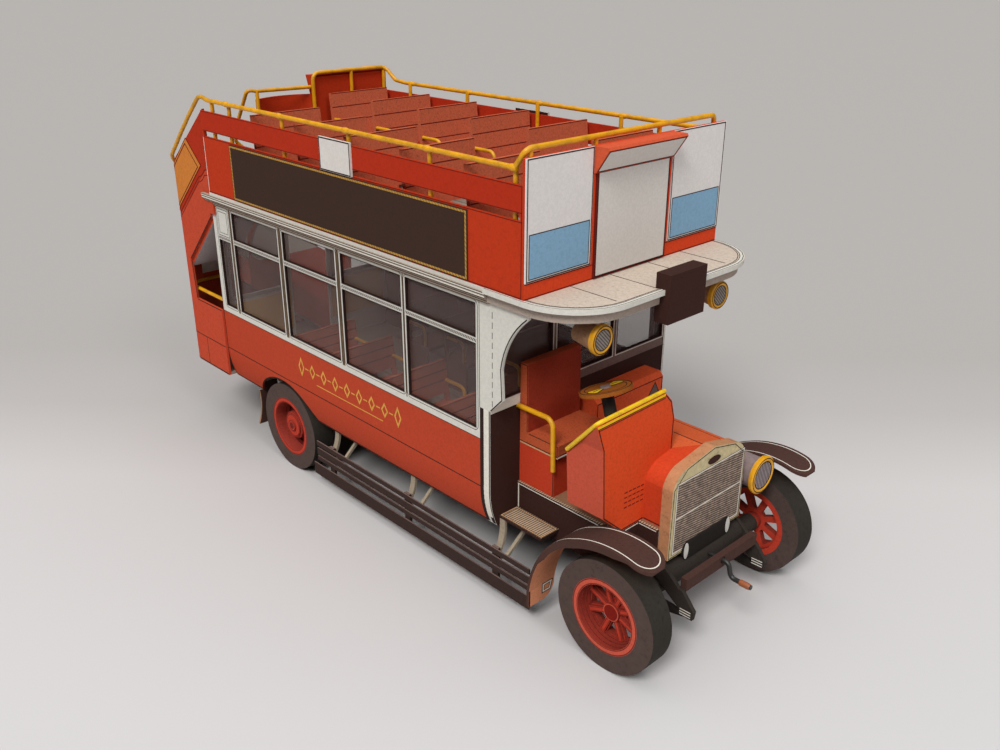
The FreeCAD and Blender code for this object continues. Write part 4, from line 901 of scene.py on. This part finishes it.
# plain lozenge on the corner of the panel, with a line round it and one inside it
LOZENGE = [(-58.5, 128.0), (-48.0, 118.5), (-74.0, 95.3), (-84.5, 104.8)]
INSIDE = 0.86       # size of the inner line's lozenge
amber = print_on("stair_lozenge", "lozenge_amber")
heads, feet = sampled(LOZENGE[0], LOZENGE[1], 22), sampled(LOZENGE[3], LOZENGE[2], 22)
amber.quilt(stair_skin, [sampled(head, foot, 60) for head, foot in zip(heads, feet)], 0.12)
centre = [sum(corner[i] for corner in LOZENGE) / 4.0 for i in range(2)]
inner = [tuple(c + INSIDE * (value - c) for c, value in zip(centre, corner)) for corner in LOZENGE]
ink = print_on("stair_lozenge_lines", "dark_red")


def outline_on_skin(corners, width):
    for start, end in zip(corners, corners[1:] + corners[:1]):
        ink.trace(stair_skin, start, end, 48, width, 0.16)


outline_on_skin(LOZENGE, 0.3)
# two lines that follow the rise of the stair: start, middle and end of the bend, then the far end
for bend, far in ((((-42.4, 117.6), (-45.5, 117.0, -9.0), (-51.0, 113.4)), ((-51.5, 113.0), (-78.0, 89.4))),
                  (((-42.4, 115.4), (-46.0, 114.8, -9.0), (-51.5, 111.2)), ((-52.0, 110.8), (-78.0, 87.6)))):
    ink.line(stair_skin, path(*bend) + sampled(*far, 30), 0.35)
outline_on_skin(inner, 0.45)

SKIN_FRONT, SKIN_END = -45.2, -145.0
ink = print_on("stair_panel_lines", "ink")
ink.trace(stair_skin, (-44.4, 98.3), (-67.6, 75.5), 12, 0.5)
ink.trace(stair_skin, (-67.0, 75.0), (-66.2, 57.8), 8, 0.4)
ink.trace(stair_skin, (SKIN_FRONT, BELT_Z), (SKIN_END, BELT_Z), 60, 0.34)
ink.trace(stair_skin, (SKIN_FRONT, 27.7), (SKIN_END, 27.7), 60, 0.6)
ink.trace(stair_skin, (SKIN_FRONT, 57.2), (-66.0, 57.2), 6, 0.4)
for u, end_z in ((-62.0, BELT_Z), (-100.0, 60.0), (-122.0, 60.0)):
    ink.trace(stair_skin, (u, 28.1), (u, end_z), 6, 0.25)
for y in (12.0, 38.0):      # uprights of the upper rear panel
    ink.upright(back(-42.0), y, 109.4, 149.0, 0.25)
lining = print_on("rear_skin_lining", "frame_white")
lining.prism(front(-78.0), [(-34.6, 64.2), (26.6, 64.2), (-34.6, 108.0)])
print_on("rear_panel_lines", "dark_red").ring(front(-41.0), rect(6.4, 109.4, 44.6, 149.6), -0.4, -0.1)

# stair treads: four up the rear, three more after the turn
RISER, GOING, FIRST_RISER_Y = 8.94, 10.5, 20.0
ink = print_on("stair_nosings", "brown")
for k in range(4):
    tread = top(PLATFORM_Z + RISER * (k + 1))
    y = FIRST_RISER_Y - GOING * k
    ink.level(tread, -77.8, -57.2, y - 0.5, 0.5)
    ink.level(tread, -77.8, -57.2, y - 3.5, 0.25)
for k, x in enumerate((-68.0, -59.5, -52.0), start=6):
    ink.upright(top(PLATFORM_Z + RISER * k), x + 0.5, -42.8, -22.2, 0.5)

# ---------- driver's cab
SEAT_REAR_X, SEAT_FRONT_X = 122.1, 138.8
seat_side = side(-1.0, 30.0)
seat_front = front(SEAT_FRONT_X)
print_on("seat_box_side", "seat_box").prism(seat_side, rect(SEAT_REAR_X, CAB_Z, 137.1, 53.8))
cream = print_on("cab_beads", "cream")
ink = print_on("cab_lines", "ink")
print_on("seat_bead", "tan_line").level(seat_side, SEAT_REAR_X, 138.7, 53.9, 0.45, OVER)
ink.level(seat_side, SEAT_REAR_X, 138.7, 54.4, 0.25, OVER)
cream.level(seat_front, -29.9, -5.9, 54.2, 0.45, OVER)
ink.level(seat_front, -29.9, -5.9, 54.7, 0.25, OVER)
ink.line(seat_side, [(125.2, 58.2), (125.0, 81.0), (122.2, 81.0)], 0.25, OVER)
ink.line(seat_side, [(126.0, 57.9), (138.5, 57.9), (138.5, 54.6)], 0.22, OVER)
ink.upright(seat_side, 136.9, CAB_Z + 0.1, 53.6, 0.3, OVER)

locker = front(130.3)
ink.ring(locker, rect(-2.4, CAB_Z, 32.4, 60.6), -0.45, -0.15)
triangle = [(23.4, 53.0), (32.0, 52.6), (28.2, 59.4)]
print_on("locker_motif", "mauve").prism(locker, triangle)
ink.ring(locker, triangle, -0.15, 0.15, high=OVER)
ink.line(locker, path((4.0, 54.6, 20.0), (21.0, 54.8), (21.0, 54.9))[:-1], 0.25, OVER)

DASH_X = 164.5
dash = front(DASH_X)
dash_edge = [(-7.1, CAB_Z), (-29.3, CAB_Z), (-37.8, 47.2), (-39.3, 70.0), (-42.3, 78.5),
             (-12.0, 79.3), (-8.9, 76.0), (-7.1, 70.0)]
ink.ring(dash, dash_edge, -0.5, -0.15)
bead = print_on("dash_bead", "lemon")
bead.prism(dash, [(-41.9, 77.8), (-12.2, 78.6), (-12.2, 79.35), (-42.2, 78.55)], high=OVER)
ink.line(dash, [(-41.7, 77.65), (-12.2, 78.45)], 0.25, OVER)
ink.line(dash, [(-41.5, 77.1), (-12.2, 77.9)], 0.18, OVER)
louvres = print_on("dash_louvres", "dark_red")
for row in range(4):
    for i in range(5):
        y = -28.6 + 1.9 * i
        louvres.level(dash, y, y + 1.3, 47.2 + 1.7 * row - 0.1 * i, 0.3, OVER)

# valances and step
VALANCE_Z = 38.9    # cream line under the top of the valance
for name, sign in SIDES:
    valance = side(sign, 31.0)
    cream.level(valance, 122.3, 164.4, VALANCE_Z, 0.3)
    ink.level(valance, 122.3, 164.4, VALANCE_Z - 0.45, 0.2)
    cream.upright(valance, 122.7, 30.2, VALANCE_Z - 0.1, 0.45, OVER)
cream.level(side(-1.0, 21.0), 164.7, 171.3, VALANCE_Z, 0.3)
cream.level(dash, -30.8, -21.2, VALANCE_Z, 0.3)
step = top(30.0)
step_edge = rect(BULKHEAD_X, -39.0, 141.0, -31.2)
print_on("step_border", "tan_line").ring(step, step_edge, -0.7, -0.3, high=OVER)
ink.ring(step, step_edge, -0.3, -0.05, high=OVER)
ink.ring(step, step_edge, -0.9, -0.7, high=OVER)

# ---------- bonnet
BONNET_REAR_X, BONNET_FRONT_X = 141.4, 171.3
# y and z of the hood's offside edge, its ridge and its nearside edge; a line near the end of each slope
HOOD = [(-13.0, 58.4), (0.0, 60.9), (10.8, 58.4)]
for (y0, z0), (y1, z1) in zip(HOOD, HOOD[1:]):
    ink.level(slope((0, y0, z0), (0, y1, z1), (-1, 0, 0)), -141.2, -BONNET_FRONT_X, y1 - y0, 0.3)
flank = side(1.0, 16.8)
ink.level(flank, BONNET_REAR_X, BONNET_FRONT_X, 52.6, 0.25)
ink.level(flank, BONNET_REAR_X, BONNET_FRONT_X, 40.0, 0.35)
for i in range(9):
    ink.upright(flank, 150.0 + 1.8 * i, 43.5, 49.5, 0.4)
ink.level(side(-1.0, 19.0), 164.8, BONNET_FRONT_X, 40.0, 0.35)

# ---------- radiator
core = front(175.3)
CORE = rect(-17.3, 31.4, 16.2, 54.9)
print_on("radiator_mesh", "grille").prism(core, CORE)
cream.ring(core, CORE, 0.0, 0.45)
ink.ring(core, CORE, 0.45, 0.6)
cream.level(core, -17.2, 16.1, 43.2, 0.4, OVER)
shell = [(-19.5, 30.0), (-19.1, 53.8), (-13.2, 59.0), (0.0, 61.3), (11.0, 58.7), (16.7, 53.8), (17.3, 30.0)]
ink.ring(core, shell, -0.25, 0.0)
oval = [(u * 2.6, 57.3 + v) for u, v in circle(0.0, 0.0, 1.2, 32)]
print_on("radiator_oval", "brown_deep").prism(core, oval, high=0.25)
for z in (52.8, 53.7):
    for sign, y in ((-1.0, 19.6), (1.0, 17.1)):
        ink.level(side(sign, y), 171.6, 175.2, z, 0.28)
ink.upright(side(-1.0, 19.72), 174.9, 30.0, 53.0, 0.3)
plate_ends = print_on("plate_ends", "frame_white")
for y in (-11.2, 10.6):
    plate_ends.prism(front(175.9), [(y + 1.15 * u, 29.8 + 2.85 * v) for u, v in circle(0.0, 0.0, 1.0, 28)])

# ---------- lamps
HEADLAMP = (24.6, 43.4)
CANOPY_LAMP_Y, CANOPY_LAMP_Z = 28.3, 97.3
LAMP_LOW = -0.4     # print on a lamp reaches down into the rim
HEADLAMP_RIM = [(-0.3, 5.6), (-0.2, 6.55), (0.5, 6.6), (0.95, 6.1), (1.0, 5.2), (0.65, 4.7), (0.5, 4.6),
                (0.3, 4.8)]
CANOPY_RIM = [(-0.5, 4.2), (-0.4, 4.65), (0.4, 4.7), (0.8, 4.3), (0.85, 3.6), (0.6, 3.2), (0.3, 3.2)]
rims = Shape()
rims.lathe((177.6, *HEADLAMP), (1, 0, 0), HEADLAMP_RIM, 56, closed=True)
for sign in (-1.0, 1.0):
    rims.lathe((152.5, CANOPY_LAMP_Y * sign, CANOPY_LAMP_Z), (1, 0, 0), CANOPY_RIM, 48, closed=True)
rims.make("lamp_rims", "yellow", smooth=True)

ink = print_on("lamp_lines", "ink")
for radius, outer, high in ((5.9, 0.15, 0.08), (4.75, 0.1, -0.05)):
    ink.ring(front(178.5), circle(*HEADLAMP, radius, 56), -0.15, outer, LAMP_LOW, high)
lens = print_on("headlamp_lens", "lens")
lens.prism(front(178.2), circle(*HEADLAMP, 4.6, 48), high=0.12)
pale = print_on("canopy_lamp_lenses", "lens_pale")
for sign in (-1.0, 1.0):
    y = CANOPY_LAMP_Y * sign
    pale.prism(front(153.1), circle(y, CANOPY_LAMP_Z, 3.1, 40), high=0.1)
    for x, radius, steps, high in ((153.3, 4.15, 48, 0.1), (153.1, 3.2, 40, 0.15)):
        ink.ring(front(x), circle(y, CANOPY_LAMP_Z, radius, steps), -0.12, 0.12, LAMP_LOW, high)

# ---------- steering wheel and starting handle
column = Vector((-0.32, 0.0, 1.0)).normalized()
hub = Vector((146.8, -18.0, 76.0)) + column * 1.2
wheel_top = slope(hub, hub + Vector((-column.z, 0.0, column.x)), (0, 1, 0))
yellow = print_on("wheel_spokes", "lemon")
ink = print_on("wheel_lines", "ink")
for hand in (-1.0, 1.0):
    lobe = [(2.1, -0.7), (5.8, -1.9), (6.5, -1.2), (6.5, 1.2), (5.8, 1.9), (2.1, 0.7)]
    lobe = [(hand * u, v) for u, v in lobe]
    yellow.prism(wheel_top, lobe, high=0.2)
    ink.ring(wheel_top, lobe, -0.05, 0.2, high=0.15)
    ink.level(wheel_top, hand * 2.6, hand * 5.6, 0.0, 0.3, 0.25)
ink.ring(wheel_top, circle(0, 0, 7.95, 48), -0.15, 0.15, high=0.06)
ink.ring(wheel_top, circle(0, 0, 6.5, 48), -0.12, 0.12, high=0.06)
print_on("wheel_hub", "lamp_grey").prism(wheel_top, circle(0, 0, 1.7, 28), high=0.5)

GRIP = [(0.0, 0.0), (0.0, 0.95), (0.5, 1.05), (3.0, 1.05), (3.7, 0.85), (3.85, 0.0)]
Shape().lathe((189.0, 0.0, 19.6), (1, 0, 0), GRIP, 24).make("handle_grip", "grip", smooth=True)

# ---------- mudguards and leaf springs
GUARD_TOP = path((141.4, 7.8), (141.4, 14.0, -40.0), (147.0, 30.1, -24.0), (159.0, 41.0, -36.0),
                 (175.0, 44.8, -30.0), (187.2, 42.2), (187.2, 42.2))[:-1]
GUARD_IN, GUARD_OUT = 34.0, 45.5
LINE_INSET, TURN_R = 1.3, 4.45
guard_face, guard_length = along(GUARD_TOP)
y_in, y_out = GUARD_IN + LINE_INSET, GUARD_OUT - LINE_INSET
start, turn_at = 22.0, guard_length - 1.4 - TURN_R
half = [(y_out, v) for v in spread(start, turn_at, 30)]
half += [(y_out - TURN_R + TURN_R * cos(t), turn_at + TURN_R * sin(t)) for t in spread(0.0, pi / 2.0, 8)[1:]]
track = half + [(y_in + y_out - y, v) for y, v in reversed(half)]
flap_face = front(142.4)
for name, sign in SIDES:
    cream = print_on(name + "_mudguard_line", "cream")
    cream.line(guard_face, [(sign * y, v) for y, v in track], 0.32)
    flap_box = [(sign * y, z) for y, z in ((39.6, 10.3), (39.6, 14.0), (34.6, 14.0), (35.7, 10.3))]
    ink = print_on(name + "_mudguard_box", "ink")
    ink.ring(flap_face, flap_box, -0.3, 0.0)
    ink.ring(flap_face, flap_box, -1.05, -0.85)
    edge_y = sign * (GUARD_OUT - 0.35)
    ink.trace(flap_face, (edge_y, 7.9), (edge_y, 13.8), 4, 0.6)
    cream.ring(flap_face, flap_box, -0.8, -0.35)

LEAF_OUT, LEAF_IN = 20.0, 18.6
leaf_lines = print_on("leaf_end_lines", "cream")
for _, sign in SIDES:
    for flank in (side(-sign, -LEAF_IN), side(sign, LEAF_OUT)):
        for z in (14.3, 15.2, 16.1):
            leaf_lines.line(flank, [(181.4, z), (185.4, z + 0.1)], 0.3)

# ---------- road wheels
WHEEL_Z, WHEEL_FACE_Y, TYRE_R = 18.4, 42.5, 18.4
SPOKES, SPOKE_IN, SPOKE_OUT = 8, 3.1, 9.3


def spoke_lines(lines, face, x):
    """Two lines along each spoke, a little to either side of its middle."""
    for i in range(SPOKES):
        turn = radians(360.0 * (i + 0.5) / SPOKES)
        along_x, along_z = cos(turn), sin(turn)
        for aside in (-0.6, 0.6):
            ends = [(x + along_x * r - along_z * aside, WHEEL_Z + along_z * r + along_x * aside)
                    for r in (SPOKE_IN, SPOKE_OUT)]
            lines.line(face, ends, 0.2)


for name, x, sign in WHEELS:
    body = name + "_road_wheel"
    lines, centre, layers = Shape(), Shape(), Shape()
    for radius, width in ((12.15, 0.3), (10.65, 0.25)):
        lines.ring(side(sign, WHEEL_FACE_Y), circle(x, WHEEL_Z, radius, 64), -width / 2.0, width / 2.0)
    if name.startswith("front"):
        for depth, radius in ((1.6, 10.25), (3.0, 9.95), (4.2, 9.6)):
            lines.ring(side(sign, WHEEL_FACE_Y - depth), circle(x, WHEEL_Z, radius, 64), -0.12, 0.12)
        spoke_lines(lines, side(sign, 38.4), x)
        centre.prism(side(sign, 39.3), circle(x, WHEEL_Z, 2.5, 32), high=0.12)
    else:
        for y, radius in ((41.6, 2.2), (41.0, 4.6), (40.2, 5.5), (37.4, 9.4)):
            lines.ring(side(sign, y), circle(x, WHEEL_Z, radius, 56), -0.14, 0.14)
        centre.prism(side(sign, 41.6), circle(x, WHEEL_Z, 1.4, 32), high=0.1)
    lines.make(name + "_wheel_lines", "wheel_dark", body)
    centre.make(name + "_wheel_centre", "wheel_dark" if name.startswith("rear") else "hub_red", body)
    layer = [(-0.09, TYRE_R - 0.2), (-0.09, TYRE_R - 0.005), (0.09, TYRE_R - 0.005), (0.09, TYRE_R - 0.2)]
    for y in (36.2, 38.4, 40.5):
        layers.lathe((x, sign * y, WHEEL_Z), (0, 1, 0), layer, 96, closed=True)
    layers.make(name + "_tyre_layers", "ink", body)

# ---------- rail joints
SLEEVE = [(0.0, 0.0), (0.05, 0.8), (0.7, 0.98), (1.5, 1.05), (2.3, 0.98), (2.95, 0.8), (3.0, 0.0)]
SLEEVE_HALF, RAIL_Y, RAIL_Z = 1.5, 44.2, 145.2
sleeves = Shape()
for x in (-21.4, 15.6, 55.5, 96.4, 132.6):
    for sign in (-1.0, 1.0):
        sleeves.lathe((x - SLEEVE_HALF, sign * RAIL_Y, RAIL_Z), (1, 0, 0), SLEEVE, 16)
sleeves.make("rail_joints", "yellow", smooth=True)

for name, (shape, finish) in PRINTS.items():
    shape.make(name, finish)

# ---------- stage, light and camera
def floor_painted_falloff(tree):
    """Painted light falloff: a little darker to the rear nearside than to the front offside."""
    place = measure(tree, (0.62, -0.62, 0.0))
    share = node(tree, "MapRange", {"Value": place, "From Min": -0.12, "From Max": 0.12})
    return ramp(tree, share.outputs["Result"], [
        (0.0, (170, 166, 163)), (0.25, (178, 174, 172)), (0.5, (196, 193, 192)), (1.0, (202, 200, 200)),
    ])


FLOOR_HALF = 12.0
floor_mesh = bpy.data.meshes.new("floor")
corners = [(x, y, 0.0) for x, y in rect(-FLOOR_HALF, -FLOOR_HALF, FLOOR_HALF, FLOOR_HALF)]
floor_mesh.from_pydata(corners, [], [(0, 1, 2, 3)])
paper = {"Roughness": 0.85, "Specular IOR Level": 0.1}
floor_mesh.materials.append(new_material("stage_floor", "floor_card", paper, floor_painted_falloff))
floor = bpy.data.objects.new("floor", floor_mesh)
scene.collection.objects.link(floor)

# light from above, weak below about 30 degrees; the camera sees a plain tone instead
world = bpy.data.worlds.new("studio")
scene.world = world
world.use_nodes = True
tree = world.node_tree
strength = node(tree, "MapRange", {
    "Value": measure(tree, (0.0, -0.08, 1.0), "Generated"),
    "From Min": 0.46, "From Max": 0.9, "To Min": 0.01, "To Max": 1.2,
}, interpolation_type="SMOOTHSTEP")
sky = tree.nodes["Background"]
feed(tree, sky, {"Color": (0.98, 0.99, 1.0, 1.0), "Strength": strength.outputs["Result"]})
plain = node(tree, "Background", {"Color": (*linear((181, 177, 174)), 1.0)})
seen = node(tree, "LightPath", {}).outputs["Is Camera Ray"]
blend = node(tree, "MixShader", {0: seen, 1: sky.outputs["Background"], 2: plain.outputs["Background"]})
feed(tree, tree.nodes["World Output"], {"Surface": blend.outputs["Shader"]})

LIGHTS = [
    # name, direction towards the light, strength, angle across in degrees
    ("soft_key", (0.27, -0.61, 0.75), 2.1, 20.0),
    ("soft_fill", (0.8, -0.1, 0.6), 0.5, 18.0),
]
for name, direction, strength, across in LIGHTS:
    lamp = bpy.data.objects.new(name, bpy.data.lights.new(name, "SUN"))
    lamp.data.energy = strength
    lamp.data.angle = radians(across)
    lamp.data.color = (1.0, 0.99, 0.975)
    lamp.rotation_mode = "QUATERNION"
    lamp.rotation_quaternion = Vector(direction).to_track_quat("Z", "Y")
    scene.collection.objects.link(lamp)

# places in metres, roll in degrees
CAMERA_AT, CAMERA_AIM, CAMERA_ROLL = (0.26104, -0.22412, 0.19867), (0.02437, -0.00048, 0.05502), 0.13
scene.view_settings.view_transform = "Standard"
camera = bpy.data.objects.new("camera", bpy.data.cameras.new("camera"))
scene.collection.objects.link(camera)
scene.camera = camera
camera.data.lens = 34.84
camera.data.sensor_width = 36.0
camera.data.clip_start = 0.01
camera.location = CAMERA_AT
aim = (Vector(CAMERA_AIM) - camera.location).to_track_quat("-Z", "Y")
camera.rotation_mode = "QUATERNION"
camera.rotation_quaternion = aim @ Quaternion((0.0, 0.0, 1.0), radians(CAMERA_ROLL))
